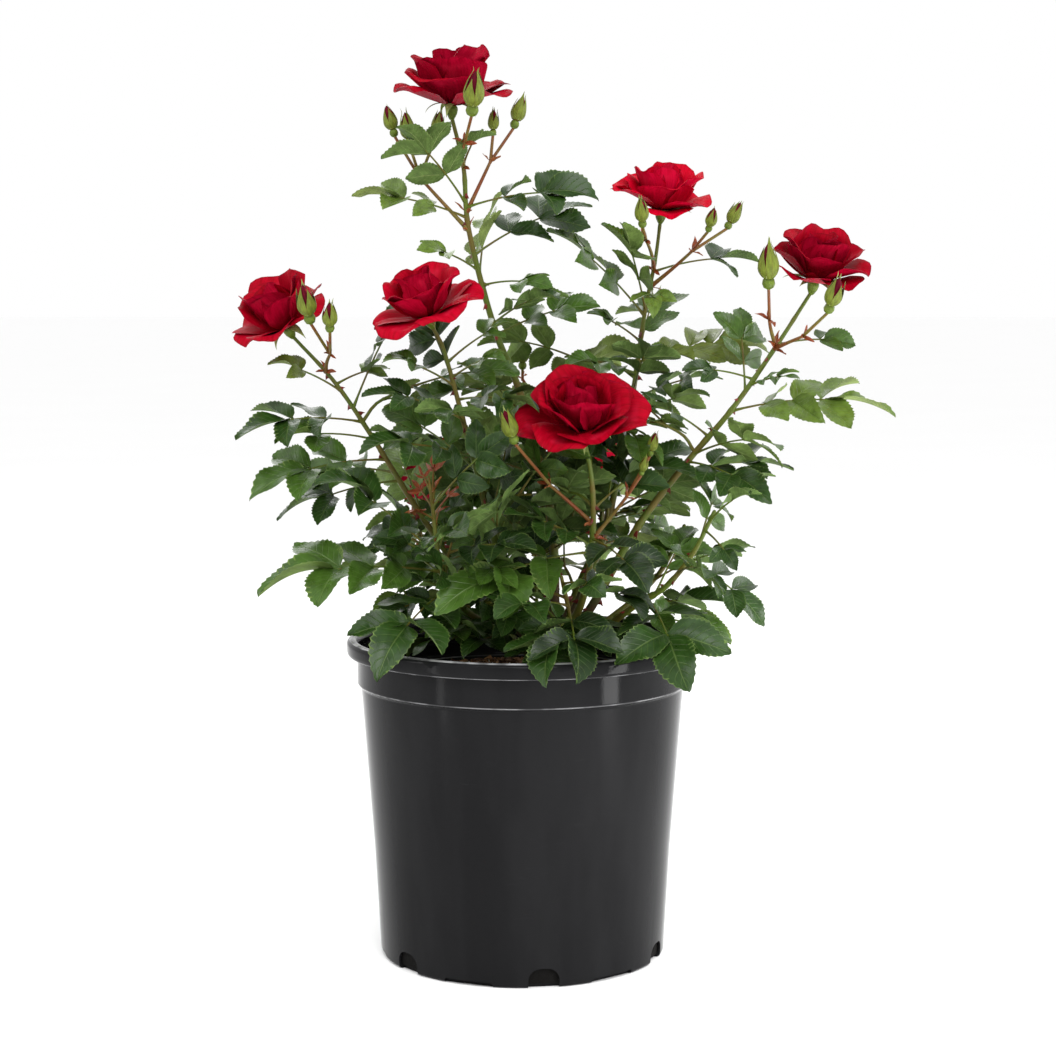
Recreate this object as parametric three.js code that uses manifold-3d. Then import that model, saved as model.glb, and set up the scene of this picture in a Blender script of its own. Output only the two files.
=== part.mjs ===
// A young shrub rose with red blooms, growing in a black nursery pot.
// Millimetres, +Z up. The origin is the centre of the pot's underside, and the front faces -Y.
import * as THREE from 'three';
import { mergeVertices } from 'three/addons/utils/BufferGeometryUtils.js';
import Module from 'manifold-3d';

const wasm = await Module();
wasm.setup();

// Clearance between neighbouring pieces.
const GAP = 0.3;
const MERGE_DISTANCE = 1e-4;

// Pot: a tapered bucket with a band and a rolled lip, open at the top.
const POT_SEGMENTS = 40;
const POT_HEIGHT = 254;
const LIP_RADIUS = 140;
const LIP_BOTTOM = 241.5;
const LIP_EDGE = 2.5;
const LIP_LEDGE = 4.5;
const BAND_RADIUS = 131.8;
const BAND_BOTTOM = 218.5;
const BAND_STEP = 3;
const WAIST_RADIUS = 118.7;
const WAIST_HEIGHT = 85;
const FOOT_RADIUS = 114;
const WALL = 2;
const FLOOR = 3;

// Openings round the pot's foot, dealt in turn every 30 degrees.
const OPENINGS_OF_A_KIND = 6;
const DRAIN_HOLE = { width: 24, height: 15.5, firstAngle: 8.5 };
const FOOT_NOTCH = { width: 40, height: 4, firstAngle: 38.5 };
const OPENING_DEPTH = 12;
const ARCH_CORNER = 0.6;

// Potting mix, mounded a little towards the crown.
const MIX_CLEARANCE = 0.6;
const MIX_EDGE_HEIGHT = 213;
const MIX_TOP = 222;

// Crown: the short woody foot that every cane springs from, flared at the potting mix.
const CROWN_CENTRE = [22, 5];
const CROWN_LEAN = [0.08, 0.05];
const CROWN_HEIGHT = 37;
const CROWN_RADII = [28, 19, 16, 9];
const CROWN_SIDES = 12;
const CROWN_CLEARANCE = 0.5;

// Canes and twigs.
const BOUGH_SIDES = 6;
const STEM_SIDES = 4;
const CANE_STEP = 31;
const TWIG_SIDES = 3;
const SHOOT_RADII = [1.7, 1.2];
const PEDICEL_RADII = [1.2, 1];
// A bud's radius and height from its foot to its point, as shares of its length.
const BUD_PROFILE = [[0, 0], [0.17, 0.12], [0.24, 0.4], [0, 1]];
const BUD_SIDES = 5;

// Compound leaves: pairs of leaflets along a stalk, and one at its end. Lengths are shares of the
// whole leaf's length, counted from its base.
const GOLDEN_TURN = THREE.MathUtils.degToRad(137.5);
const LEAF_LENGTH = 104;
const LEAF_ARCH = 0.13;
// The rule that deals leaves round a stem: the shares of the cane left bare at the stem's ends, and
// the ranges of turn (radians), rise (degrees) and size that chance draws from.
const LEAF_TRIES = 8;
const STEM_MARGINS = [0.02, 0.04];
const LEAF_STEPS = [0.1, 0.9];
const LEAF_TURNS = [-1, 1];
const LEAF_RISES = [8, 42];
const LEAF_SIZES = [0.85, 1.15];
const STEEPEST_FALL = -0.35;
// Dealt leaves turn their upper face up and away from the crown, and roll a little by chance.
const LEAF_LEAN = 0.7;
const LEAF_ROLLS = [-0.5, 0.5];
// The leaves of the outline face up and forwards. One whose place is taken moves along its stem.
const REACH_FACING = new THREE.Vector3(0, -0.4, 0.92);
const REACH_SHIFTS = [0, 6, -6, 12, -12, 18, -18];
const STALK_HALF_WIDTHS = [1.2, 0.8];
const STALK_NECK = 2;
const TERMINAL_START = 0.57;
const PAIR_START = 0.54;
const PAIR_SPREAD = 0.5;
const PAIR_ANGLE = THREE.MathUtils.degToRad(58);
const LEAFLET_LENGTHS = [0.38, 0.33, 0.26];
const LEAFLET_WIDTH = 0.62;
const LEAFLET_FOLD = 0.1;
// A leaflet's edge from root to tip: shares of its length, and of its width to one side.
const SIDE_EDGE = [[0.42, 0.5]];
const TERMINAL_EDGE = [[0.3, 0.48], [0.66, 0.4]];

// Blooms: a scalloped outer bowl of petals, an inner one turned by half a lobe, and a pointed heart.
const BLOOM_SEGMENTS = 15;
const BLOOM_LOBES = 5;
// Profile from the hip outwards, over the rims and in to the heart: shares of the bloom's radius,
// then how far the lobes push that ring out, and which bowl the ring belongs to.
const BLOOM_PROFILE = [
  [0, 0, 0, 0], [0.12, 0.01, 0, 0], [0.66, 0.08, 0.08, 0], [0.95, 0.3, 0.12, 0], [0.68, 0.4, 0.08, 0],
  [0.6, 0.52, 0.08, 1], [0.62, 0.78, 0.14, 1], [0.28, 0.84, 0.1, 1], [0, 1, 0, 0],
];
// The hip under the petals stands on the cane's end, sunk into both by a share of its length.
const HIP_RADII = [2.4, 5];
const HIP_LENGTH = 11;
const HIP_SIDES = 6;
const HIP_SINK = 0.2;

const MATERIALS = {
  pot: { color: 0x1d1d1f, roughness: 0.34, metalness: 0 },
  mix: { color: 0x3a2c22, roughness: 0.95, metalness: 0 },
  wood: { color: 0x6b5a3c, roughness: 0.8, metalness: 0 },
  cane: { color: 0x5f6b31, roughness: 0.6, metalness: 0 },
  leaves: { color: 0x35522b, roughness: 0.45, metalness: 0 },
  petals: { color: 0xa50716, roughness: 0.6, metalness: 0 },
};

// Each cane runs from the crown along `path`. Its bough ends at the share `ends[0]` of that length,
// and its leafy stem at `ends[1]`, where the bloom's own stalk takes over.
// `leaves` are dealt round the stem by rule. `reaches` are the leaves that set the shrub's outline:
// the height at which each springs, its tip, and its pairs of leaflets.
// `shoots` carry the buds: the height of each, its end, and each bud's foot and length.
const CANES = {
  tall: {
    seed: 11,
    path: [[24, 11, 248], [26, 16, 300], [21, 18, 362], [-2, 20, 448], [-22, 15, 499],
      [-42, 8, 576], [-46, 4, 625], [-55, 0, 664]],
    radii: [4.1, 1.5],
    ends: [0.13, 0.93],
    leaves: { count: 6, pairs: 2, size: 0.92 },
    reaches: [[594, [60, -10, 602], 2], [586, [-133, -10, 602], 2], [557, [57, 60, 598], 2],
      [545, [-80, -30, 562], 1], [533, [24, -25, 531], 1], [494, [62, 10, 518], 2],
      [627, [-31, -38, 651], 1]],
    shoots: [
      { at: 576, to: [-80, 0, 617],
        buds: [[-99, -6, 648, 25], [-87, -12, 640, 27], [-68, -8, 646, 22]] },
      { at: 590, to: [-25, 10, 630], buds: [[-23, 8, 650, 20], [-7, 14, 656, 27]] },
      { at: 626, to: [-44, -32, 642], buds: [[-38, -60, 660, 36]] },
    ],
    bloom: { radius: 48, facing: [0.05, -0.12, 1] },
  },
  mid_left: {
    seed: 23,
    path: [[15, 1, 246], [2, -10, 285], [-17, -20, 318], [-37, -35, 395], [-53, -45, 458],
      [-61, -50, 486], [-69, -54, 502]],
    radii: [3.5, 1.4],
    ends: [0.17, 0.93],
    leaves: { count: 6, pairs: 2, size: 0.95 },
    reaches: [[456, [-105, -80, 478], 1], [456, [-13, -80, 480], 1], [445, [14, -90, 439], 2],
      [430, [-122, -66, 452], 2], [474, [-6, -40, 506], 1], [400, [-122, -94, 410], 2]],
    shoots: [],
    bloom: { radius: 42, facing: [-0.3, -0.34, 0.88] },
  },
  far_left: {
    seed: 37,
    path: [[12, 9, 244], [-16, 14, 270], [-48, 8, 304], [-81, 0, 352], [-118, -10, 414],
      [-147, -18, 458], [-179, -24, 494]],
    radii: [3.3, 1.3],
    ends: [0.18, 0.92],
    leaves: { count: 4, pairs: 2, size: 0.9 },
    reaches: [[426, [-221, -60, 420], 2], [412, [-191, -50, 413], 1], [396, [-214, -40, 372], 2],
      [379, [-193, -20, 349], 2], [456, [-105, 10, 468], 1], [450, [-197, -34, 474], 1]],
    shoots: [{ at: 466, to: [-148, -42, 480], buds: [[-159, -80, 504, 33], [-144, -88, 498, 26]] }],
    bloom: { radius: 42, facing: [-0.42, -0.4, 0.8] },
  },
  front: {
    seed: 41,
    path: [[27, -3, 246], [44, -16, 276], [52, -32, 310], [55, -50, 352], [53, -62, 388],
      [47, -70, 418]],
    radii: [3.6, 1.5],
    ends: [0.22, 0.9],
    leaves: { count: 5, pairs: 2, size: 0.95 },
    reaches: [[337, [94, -122, 307], 2], [320, [-66, -114, 290], 2]],
    shoots: [
      { at: 337, to: [80, -54, 370], buds: [[98, -56, 402, 19], [91, -64, 388, 16]] },
      { at: 349, to: [22, -64, 380], buds: [[-5, -92, 414, 28]] },
    ],
    bloom: { radius: 47, facing: [-0.08, -0.62, 0.78] },
  },
  upper_right: {
    seed: 59,
    path: [[31, 10, 248], [50, 24, 290], [70, 38, 345], [89, 48, 441], [99, 50, 510],
      [107, 46, 552], [111, 42, 585]],
    radii: [3.5, 1.3],
    ends: [0.16, 0.93],
    leaves: { count: 6, pairs: 2, size: 0.92 },
    reaches: [[509, [20, 10, 578], 2], [544, [193, 60, 553], 1], [534, [104, -5, 511], 1],
      [471, [207, 70, 485], 3], [462, [34, 2, 470], 2], [488, [52, 26, 512], 1],
      [440, [160, 8, 462], 2]],
    shoots: [
      { at: 532, to: [135, 26, 560], buds: [[146, 2, 575, 21], [163, 30, 578, 24]] },
      { at: 546, to: [98, 8, 568], buds: [[94, -14, 578, 25]] },
    ],
    bloom: { radius: 41, facing: [0.05, -0.25, 0.96] },
  },
  far_right: {
    seed: 67,
    path: [[33, 4, 246], [56, 0, 279], [93, -8, 345], [130, -15, 395], [164, -25, 437],
      [194, -30, 481], [224, -31, 528]],
    radii: [3.7, 1.4],
    ends: [0.15, 0.91],
    leaves: { count: 4, pairs: 2, size: 0.9 },
    reaches: [[487, [261, -20, 487], 1], [455, [212, -62, 463], 2], [460, [124, -34, 467], 1],
      [435, [289, -50, 438], 3], [415, [88, -62, 445], 1], [395, [188, -82, 370], 2],
      [392, [214, -18, 391], 2]],
    shoots: [
      { at: 486, to: [189, -56, 506], buds: [[186, -76, 530, 36]] },
      { at: 484, to: [214, -60, 494], buds: [[229, -88, 512, 30]] },
    ],
    bloom: { radius: 41, facing: [0.18, -0.3, 0.92] },
  },
  low_right: {
    seed: 71,
    path: [[34, -1, 238], [64, -17, 262], [92, -35, 286], [112, -45, 300], [132, -55, 327],
      [148, -60, 360]],
    radii: [3.2, 1.5],
    ends: [0.3, 1],
    leaves: { count: 4, pairs: 2, size: 0.85 },
    reaches: [[321, [190, -58, 272], 2], [345, [163, -92, 318], 1], [352, [169, -112, 378], 1],
      [290, [119, -158, 240], 2]],
    shoots: [],
  },
  low_left: {
    seed: 83,
    path: [[14, -5, 241], [-20, -20, 262], [-48, -36, 284], [-63, -55, 318], [-70, -65, 377]],
    radii: [3.2, 1.4],
    ends: [0.3, 1],
    leaves: { count: 4, pairs: 2, size: 0.9 },
    reaches: [[312, [-202, -90, 304], 3], [322, [-151, -110, 393], 2], [292, [-116, -70, 274], 2],
      [280, [-108, -150, 250], 2]],
    shoots: [],
  },
  low_front: {
    seed: 97,
    path: [[22, -9, 240], [30, -36, 262], [36, -62, 280], [30, -82, 312]],
    radii: [2.8, 1.4],
    ends: [0.3, 1],
    leaves: { count: 3, pairs: 2, size: 0.85 },
    reaches: [[272, [13, -156, 246], 2], [286, [42, -166, 246], 2], [300, [-20, -140, 290], 2],
      [306, [60, -148, 306], 1]],
    shoots: [],
  },
  back_left: {
    seed: 101,
    path: [[14, 14, 244], [-8, 46, 282], [-34, 88, 318], [-54, 118, 342], [-62, 138, 358]],
    radii: [3.7, 1.5],
    ends: [0.24, 0.92],
    leaves: { count: 7, pairs: 2, size: 1 },
    reaches: [],
    shoots: [],
    bloom: { radius: 39, facing: [-0.35, 0.7, 0.6] },
  },
  back_mid: {
    seed: 113,
    path: [[22, 17, 246], [20, 50, 310], [14, 85, 400], [2, 92, 452]],
    radii: [3.7, 1.5],
    ends: [0.2, 1],
    leaves: { count: 7, pairs: 2, size: 1 },
    reaches: [],
    shoots: [{ at: 444, to: [0, 94, 456], buds: [[0, 92, 464, 26]] }],
  },
  back_right: {
    seed: 127,
    path: [[28, 19, 244], [46, 50, 288], [66, 88, 332], [62, 122, 366], [52, 142, 384]],
    radii: [3.7, 1.5],
    ends: [0.24, 0.92],
    leaves: { count: 7, pairs: 2, size: 1 },
    reaches: [],
    shoots: [],
    bloom: { radius: 38, facing: [0.1, 0.8, 0.55] },
  },
  low_back_left: {
    seed: 131,
    path: [[10, 16, 236], [-26, 42, 254], [-62, 72, 286], [-88, 84, 330]],
    radii: [3.2, 1.5],
    ends: [0.26, 1],
    leaves: { count: 5, pairs: 2, size: 0.95 },
    reaches: [],
    shoots: [],
  },
  low_back_right: {
    seed: 149,
    path: [[33, 12, 242], [76, 40, 266], [112, 62, 296], [134, 70, 336]],
    radii: [3.2, 1.5],
    ends: [0.26, 1],
    leaves: { count: 6, pairs: 2, size: 0.95 },
    reaches: [],
    shoots: [],
  },
};

const X_AXIS = new THREE.Vector3(1, 0, 0);
const Y_AXIS = new THREE.Vector3(0, 1, 0);
const UP = new THREE.Vector3(0, 0, 1);

// A limb that rises by less than this share of its length is level.
const LEVEL_SHARE = 0.4;
const BISECTIONS = 24;

const vector = ([x, y, z]) => new THREE.Vector3(x, y, z);
const between = ([low, high], share) => THREE.MathUtils.lerp(low, high, share);

// Repeatable random numbers from 0 to 1.
function randomFrom(seed) {
  let state = seed;
  return () => {
    state = (state + 0x6d2b79f5) >>> 0;
    let mixed = Math.imul(state ^ (state >>> 15), state | 1);
    mixed ^= mixed + Math.imul(mixed ^ (mixed >>> 7), mixed | 61);
    return ((mixed ^ (mixed >>> 14)) >>> 0) / 4294967296;
  };
}

function solid(corners, faces) {
  return new wasm.Manifold(new wasm.Mesh({
    numProp: 3,
    vertProperties: new Float32Array(corners.flatMap((corner) => corner.toArray())),
    triVerts: new Uint32Array(faces),
  }));
}

// A solid from a closed geometry, without the flat triangles that a pole on the axis leaves.
function solidOf(geometry) {
  geometry.deleteAttribute('normal');
  geometry.deleteAttribute('uv');
  const merged = mergeVertices(geometry, MERGE_DISTANCE);
  const positions = merged.getAttribute('position');
  const corners = Array.from({ length: positions.count }, (_, i) => (
    new THREE.Vector3().fromBufferAttribute(positions, i)));
  const faces = [];
  for (let i = 0; i < merged.index.count; i += 3) {
    const face = [0, 1, 2].map((corner) => merged.index.getX(i + corner));
    if (new Set(face).size === 3) {
      faces.push(...face);
    }
  }
  return solid(corners, faces);
}

// The largest body of a joined solid: sealed hollows are filled and loose scraps dropped.
function join(pieces) {
  const bodies = wasm.Manifold.union(pieces).decompose();
  return bodies.reduce((best, body) => (body.volume() > best.volume() ? body : best));
}

function meshOf(name, piece, material) {
  const { vertProperties, triVerts } = piece.getMesh();
  const geometry = new THREE.BufferGeometry();
  geometry.setAttribute('position', new THREE.BufferAttribute(vertProperties, 3));
  geometry.setIndex(new THREE.BufferAttribute(triVerts, 1));
  geometry.computeVertexNormals();
  const mesh = new THREE.Mesh(geometry, new THREE.MeshStandardMaterial(MATERIALS[material]));
  mesh.name = name;
  return mesh;
}

function turned(profile, segments) {
  const points = profile.map(([radius, height]) => new THREE.Vector2(radius, height));
  return solidOf(new THREE.LatheGeometry(points, segments).rotateX(Math.PI / 2));
}

// Two directions square to `along`, on a limb that leads `overall`.
function crossAxes(along, overall) {
  const sideways = Math.abs(overall.x) < Math.abs(overall.y) ? X_AXIS : Y_AXIS;
  const isLevel = Math.abs(overall.z) < LEVEL_SHARE * overall.length();
  const across = (isLevel ? UP : sideways).clone();
  across.addScaledVector(along, -across.dot(along)).normalize();
  return [across, along.clone().cross(across)];
}

function around(centre, [across, outward], radius, angle) {
  return centre.clone()
    .addScaledVector(across, radius * Math.cos(angle))
    .addScaledVector(outward, radius * Math.sin(angle));
}

// A tapering limb along part of a curve, with flat ends.
function limb(curve, [from, to], [thick, thin], sides, segments) {
  const overall = curve.getPointAt(to).sub(curve.getPointAt(from));
  const corners = [];
  const faces = [];
  for (let ring = 0; ring <= segments; ring += 1) {
    const share = THREE.MathUtils.lerp(from, to, ring / segments);
    const axes = crossAxes(curve.getTangentAt(share), overall);
    const radius = THREE.MathUtils.lerp(thick, thin, share);
    for (let side = 0; side < sides; side += 1) {
      corners.push(around(curve.getPointAt(share), axes, radius, (side / sides) * 2 * Math.PI));
      if (ring > 0) {
        const next = (side + 1) % sides;
        const [a, b] = [(ring - 1) * sides + side, (ring - 1) * sides + next];
        faces.push(a, b, b + sides, a, b + sides, a + sides);
      }
    }
  }
  const last = segments * sides;
  for (let side = 1; side < sides - 1; side += 1) {
    faces.push(0, side + 1, side, last, last + side, last + side + 1);
  }
  return solid(corners, faces);
}

function straightLimb(start, end, radii, sides) {
  return limb(new THREE.LineCurve3(start, end), [0, 1], radii, sides, 1);
}

// Pot ------------------------------------------------------------------------------------------

function archTool({ width, height }) {
  const shape = new THREE.Shape();
  const corner = Math.min(width / 2, height * ARCH_CORNER);
  shape.moveTo(-width / 2, -FLOOR);
  shape.lineTo(width / 2, -FLOOR);
  shape.lineTo(width / 2, height - corner);
  shape.quadraticCurveTo(width / 2, height, width / 2 - corner, height);
  shape.lineTo(-width / 2 + corner, height);
  shape.quadraticCurveTo(-width / 2, height, -width / 2, height - corner);
  const geometry = new THREE.ExtrudeGeometry(shape, {
    depth: OPENING_DEPTH, bevelEnabled: false, curveSegments: 2,
  });
  return geometry.rotateX(Math.PI / 2).translate(0, -FOOT_RADIUS + OPENING_DEPTH / 2, 0);
}

function makePot() {
  const body = turned([
    [0, 0], [FOOT_RADIUS - WALL, 0], [FOOT_RADIUS, WALL], [WAIST_RADIUS, WAIST_HEIGHT],
    [BAND_RADIUS - BAND_STEP, BAND_BOTTOM - WALL], [BAND_RADIUS, BAND_BOTTOM],
    [BAND_RADIUS, LIP_BOTTOM], [LIP_RADIUS - WALL / 2, LIP_BOTTOM],
    [LIP_RADIUS, LIP_BOTTOM + LIP_EDGE], [LIP_RADIUS, POT_HEIGHT - LIP_EDGE],
    [LIP_RADIUS - LIP_EDGE, POT_HEIGHT], [LIP_RADIUS - LIP_EDGE - LIP_LEDGE, POT_HEIGHT],
    [BAND_RADIUS - WALL, POT_HEIGHT - 2 * LIP_EDGE], [BAND_RADIUS - WALL, BAND_BOTTOM + WALL],
    [BAND_RADIUS - BAND_STEP - WALL, BAND_BOTTOM - WALL], [WAIST_RADIUS - WALL, WAIST_HEIGHT],
    [FOOT_RADIUS - WALL, FLOOR], [0, FLOOR],
  ], POT_SEGMENTS);
  const tools = [DRAIN_HOLE, FOOT_NOTCH].flatMap((opening) => {
    const angles = Array.from({ length: OPENINGS_OF_A_KIND }, (_, i) => (
      THREE.MathUtils.degToRad(opening.firstAngle + (i * 360) / OPENINGS_OF_A_KIND)));
    return angles.map((angle) => solidOf(archTool(opening).rotateZ(angle)));
  });
  return body.subtract(wasm.Manifold.union(tools));
}

function makePottingMix() {
  const inside = (radius) => radius - WALL - MIX_CLEARANCE;
  return turned([
    [0, FLOOR + GAP], [inside(FOOT_RADIUS), FLOOR + GAP], [inside(WAIST_RADIUS), WAIST_HEIGHT],
    [inside(BAND_RADIUS - BAND_STEP), MIX_EDGE_HEIGHT], [inside(BAND_RADIUS) / 2, MIX_TOP],
    [0, MIX_TOP],
  ], POT_SEGMENTS);
}

// Woody parts ----------------------------------------------------------------------------------

// The crown, grown by `extra` all over when it cuts its own shape out of the canes' feet.
function makeCrown(extra) {
  const levels = CROWN_RADII.length - 1;
  const height = CROWN_HEIGHT + 2 * extra;
  const flank = CROWN_RADII.map((radius, level) => (
    new THREE.Vector2(radius + extra, (height * level) / levels)));
  const points = [new THREE.Vector2(0, 0), ...flank, new THREE.Vector2(0, height)];
  const geometry = new THREE.LatheGeometry(points, CROWN_SIDES).rotateX(Math.PI / 2);
  geometry.applyMatrix4(new THREE.Matrix4().makeShear(0, 0, 0, 0, ...CROWN_LEAN));
  return solidOf(geometry.translate(...CROWN_CENTRE, MIX_TOP + GAP - extra));
}

// The share of a rising curve's length at which it reaches `height`.
function shareAtHeight(curve, height) {
  let [low, high] = [0, 1];
  for (let step = 0; step < BISECTIONS; step += 1) {
    const middle = (low + high) / 2;
    if (curve.getPointAt(middle).z < height) {
      low = middle;
    } else {
      high = middle;
    }
  }
  return low;
}

function caneLimb(curve, from, to, radii, sides) {
  const segments = Math.max(2, Math.round(((to - from) * curve.getLength()) / CANE_STEP));
  return limb(curve, [from, to], radii, sides, segments);
}

// Leaves ---------------------------------------------------------------------------------------

// One compound leaf from `base` to `tip`, with its upper face turned towards `facing`. It is made of
// stations along its stalk. Each station has a corner above and below the stalk, and on each side a
// rim of corners that runs round its leaflet, if any. A leaflet tapers from the stalk's thickness to
// a sharp edge.
function compoundLeaf([base, tip, facing], pairs) {
  const reach = tip.clone().sub(base);
  const length = reach.length();
  const bend = base.clone().addScaledVector(reach, 0.5).addScaledVector(UP, LEAF_ARCH * length);
  const spine = new THREE.QuadraticBezierCurve3(base, bend, tip);
  const corners = [];
  const faces = [];
  const add = (origin, ...steps) => {
    const corner = origin.clone();
    steps.forEach(([direction, distance]) => corner.addScaledVector(direction, distance));
    return corners.push(corner) - 1;
  };
  const end = add(tip);

  const makeStation = (share, kind, pair) => {
    const along = spine.getTangent(share);
    const side = along.clone().cross(facing).normalize();
    const above = side.clone().cross(along);
    const centre = spine.getPoint(share);
    const half = between(STALK_HALF_WIDTHS, share);
    const rims = [1, -1].map((hand) => {
      if (kind === 'foot') {
        return [add(centre, [side, hand * half])];
      }
      if (kind === 'terminal') {
        const size = tip.distanceTo(centre);
        const edge = TERMINAL_EDGE.map(([lengthwise, sideways]) => add(
          spine.getPoint(THREE.MathUtils.lerp(share, 1, lengthwise)),
          [side, hand * sideways * LEAFLET_WIDTH * size],
          [above, LEAFLET_FOLD * sideways * size],
        ));
        return [add(centre, [side, hand * half]), ...edge, end];
      }
      const size = LEAFLET_LENGTHS[pair] * length;
      const outward = along.clone().multiplyScalar(Math.cos(PAIR_ANGLE))
        .addScaledVector(side, hand * Math.sin(PAIR_ANGLE));
      const forward = along.clone().multiplyScalar(Math.sin(PAIR_ANGLE))
        .addScaledVector(side, -hand * Math.cos(PAIR_ANGLE));
      const edge = (turn) => SIDE_EDGE.map(([lengthwise, sideways]) => add(
        centre,
        [outward, lengthwise * size],
        [forward, turn * sideways * LEAFLET_WIDTH * size],
        [above, LEAFLET_FOLD * sideways * size],
      ));
      return [
        add(centre, [side, hand * half], [along, -STALK_NECK]),
        ...edge(-1),
        add(centre, [outward, size]),
        ...edge(1).reverse(),
        add(centre, [side, hand * half], [along, STALK_NECK]),
      ];
    });
    return { top: add(centre, [above, half]), bottom: add(centre, [above, -half]), rims };
  };

  const stations = [makeStation(0, 'foot')];
  for (let pair = pairs - 1; pair >= 0; pair -= 1) {
    stations.push(makeStation(PAIR_START - (PAIR_SPREAD * pair) / pairs, 'pair', pair));
  }
  stations.push(makeStation(TERMINAL_START, 'terminal'));

  const fan = (centre, rim, upward) => {
    for (let i = 1; i < rim.length; i += 1) {
      faces.push(centre, ...(upward ? [rim[i - 1], rim[i]] : [rim[i], rim[i - 1]]));
    }
  };
  stations.forEach((station, i) => {
    const next = stations[i + 1];
    station.rims.forEach((rim, left) => {
      for (const face of ['top', 'bottom']) {
        const upward = (face === 'top') === (left === 0);
        fan(station[face], rim, upward);
        if (next) {
          fan(station[face], [rim.at(-1), next.rims[left][0], next[face]], upward);
        }
      }
    });
  });
  const [foot] = stations;
  const [[right], [left]] = foot.rims;
  faces.push(foot.top, left, foot.bottom, foot.top, foot.bottom, right);
  return solid(corners, faces);
}

// The rule that deals leaves round a cane: each call gives the next try at leaf number `i`.
function leafRule(cane, curve) {
  const random = randomFrom(cane.seed);
  const phase = random() * 2 * Math.PI;
  const overall = curve.getPointAt(1).sub(curve.getPointAt(0));
  const { count, size } = cane.leaves;
  return (i) => {
    const step = (i + between(LEAF_STEPS, random())) / count;
    const share = between([cane.ends[0] + STEM_MARGINS[0], cane.ends[1] - STEM_MARGINS[1]], step);
    const base = curve.getPointAt(share);
    const tangent = curve.getTangentAt(share);
    const turn = phase + GOLDEN_TURN * i + between(LEAF_TURNS, random());
    const rise = THREE.MathUtils.degToRad(between(LEAF_RISES, random()));
    const length = LEAF_LENGTH * size * between(LEAF_SIZES, random());
    const outward = around(new THREE.Vector3(), crossAxes(tangent, overall), 1, turn);
    const reach = outward.multiplyScalar(Math.cos(rise)).addScaledVector(tangent, Math.sin(rise));
    reach.z = Math.max(reach.z, STEEPEST_FALL);
    const tip = base.clone().addScaledVector(reach, length);
    const facing = new THREE.Vector3(tip.x - CROWN_CENTRE[0], tip.y - CROWN_CENTRE[1], 0);
    facing.setLength(LEAF_LEAN).add(UP);
    facing.x += between(LEAF_ROLLS, random());
    facing.y += between(LEAF_ROLLS, random());
    return [base, tip, facing];
  };
}

// Buds and blooms ------------------------------------------------------------------------------

// A bud: a pointed spindle on its foot, standing along `direction`.
function makeBud(foot, direction, length) {
  const points = BUD_PROFILE.map(([radius, height]) => (
    new THREE.Vector2(radius * length, height * length)));
  const geometry = new THREE.LatheGeometry(points, BUD_SIDES);
  const turn = new THREE.Quaternion().setFromUnitVectors(Y_AXIS, direction);
  return solidOf(geometry.applyQuaternion(turn).translate(...foot.toArray()));
}

// A shoot from a cane, and the buds on their stalks, which bend halfway towards upright.
function makeShoot(curve, shoot) {
  const start = curve.getPointAt(shareAtHeight(curve, shoot.at));
  const end = vector(shoot.to);
  const pieces = [straightLimb(start, end, SHOOT_RADII, TWIG_SIDES)];
  for (const [x, y, z, length] of shoot.buds) {
    const foot = new THREE.Vector3(x, y, z);
    const along = foot.clone().sub(end).normalize();
    const direction = along.clone().lerp(UP, 0.5).normalize();
    const sunk = end.clone().addScaledVector(along, -SHOOT_RADII[1]);
    const neck = foot.clone().addScaledVector(direction, BUD_PROFILE[1][1] * length);
    pieces.push(straightLimb(sunk, neck, PEDICEL_RADII, TWIG_SIDES));
    pieces.push(makeBud(foot, direction, length));
  }
  return pieces;
}

// A bloom on the hip at `centre`, with its petals round the axis `facing`.
function makeBloom(centre, facing, radius) {
  const points = BLOOM_PROFILE.map(([reach, height]) => (
    new THREE.Vector2(reach * radius, height * radius)));
  const geometry = new THREE.LatheGeometry(points, BLOOM_SEGMENTS);
  const positions = geometry.getAttribute('position');
  for (let i = 0; i < positions.count; i += 1) {
    const [, , push, bowl] = BLOOM_PROFILE[i % points.length];
    const angle = Math.atan2(positions.getZ(i), positions.getX(i));
    const lobe = 1 + push * Math.cos(BLOOM_LOBES * angle + bowl * Math.PI);
    positions.setX(i, positions.getX(i) * lobe);
    positions.setZ(i, positions.getZ(i) * lobe);
  }
  const turn = new THREE.Quaternion().setFromUnitVectors(Y_AXIS, facing);
  const petals = solidOf(geometry.applyQuaternion(turn).translate(...centre.toArray()));
  const foot = centre.clone().addScaledVector(facing, -HIP_LENGTH);
  const neck = centre.clone().addScaledVector(facing, HIP_SINK * HIP_LENGTH);
  return [petals, straightLimb(foot, neck, HIP_RADII, HIP_SIDES)];
}

// Assembly -------------------------------------------------------------------------------------

const pot = makePot();
const pottingMix = makePottingMix();
const crown = makeCrown(0);
const crownCutter = makeCrown(CROWN_CLEARANCE);

const placed = [];

function boxesApart(one, other) {
  return [0, 1, 2].some((axis) => (
    one.min[axis] > other.max[axis] + GAP || other.min[axis] > one.max[axis] + GAP));
}

function place(piece, owner) {
  placed.push({ piece, owner, box: piece.boundingBox() });
}

// Whether a piece keeps its clearance from everything placed so far that isn't its owner's own.
function isClear(piece, owner) {
  const box = piece.boundingBox();
  return placed.every((other) => (
    other.owner === owner || boxesApart(box, other.box)
    || piece.minGap(other.piece, GAP) >= GAP));
}

place(pot, 'pot');
place(pottingMix, 'potting_mix');
place(crown, 'crown');

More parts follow.
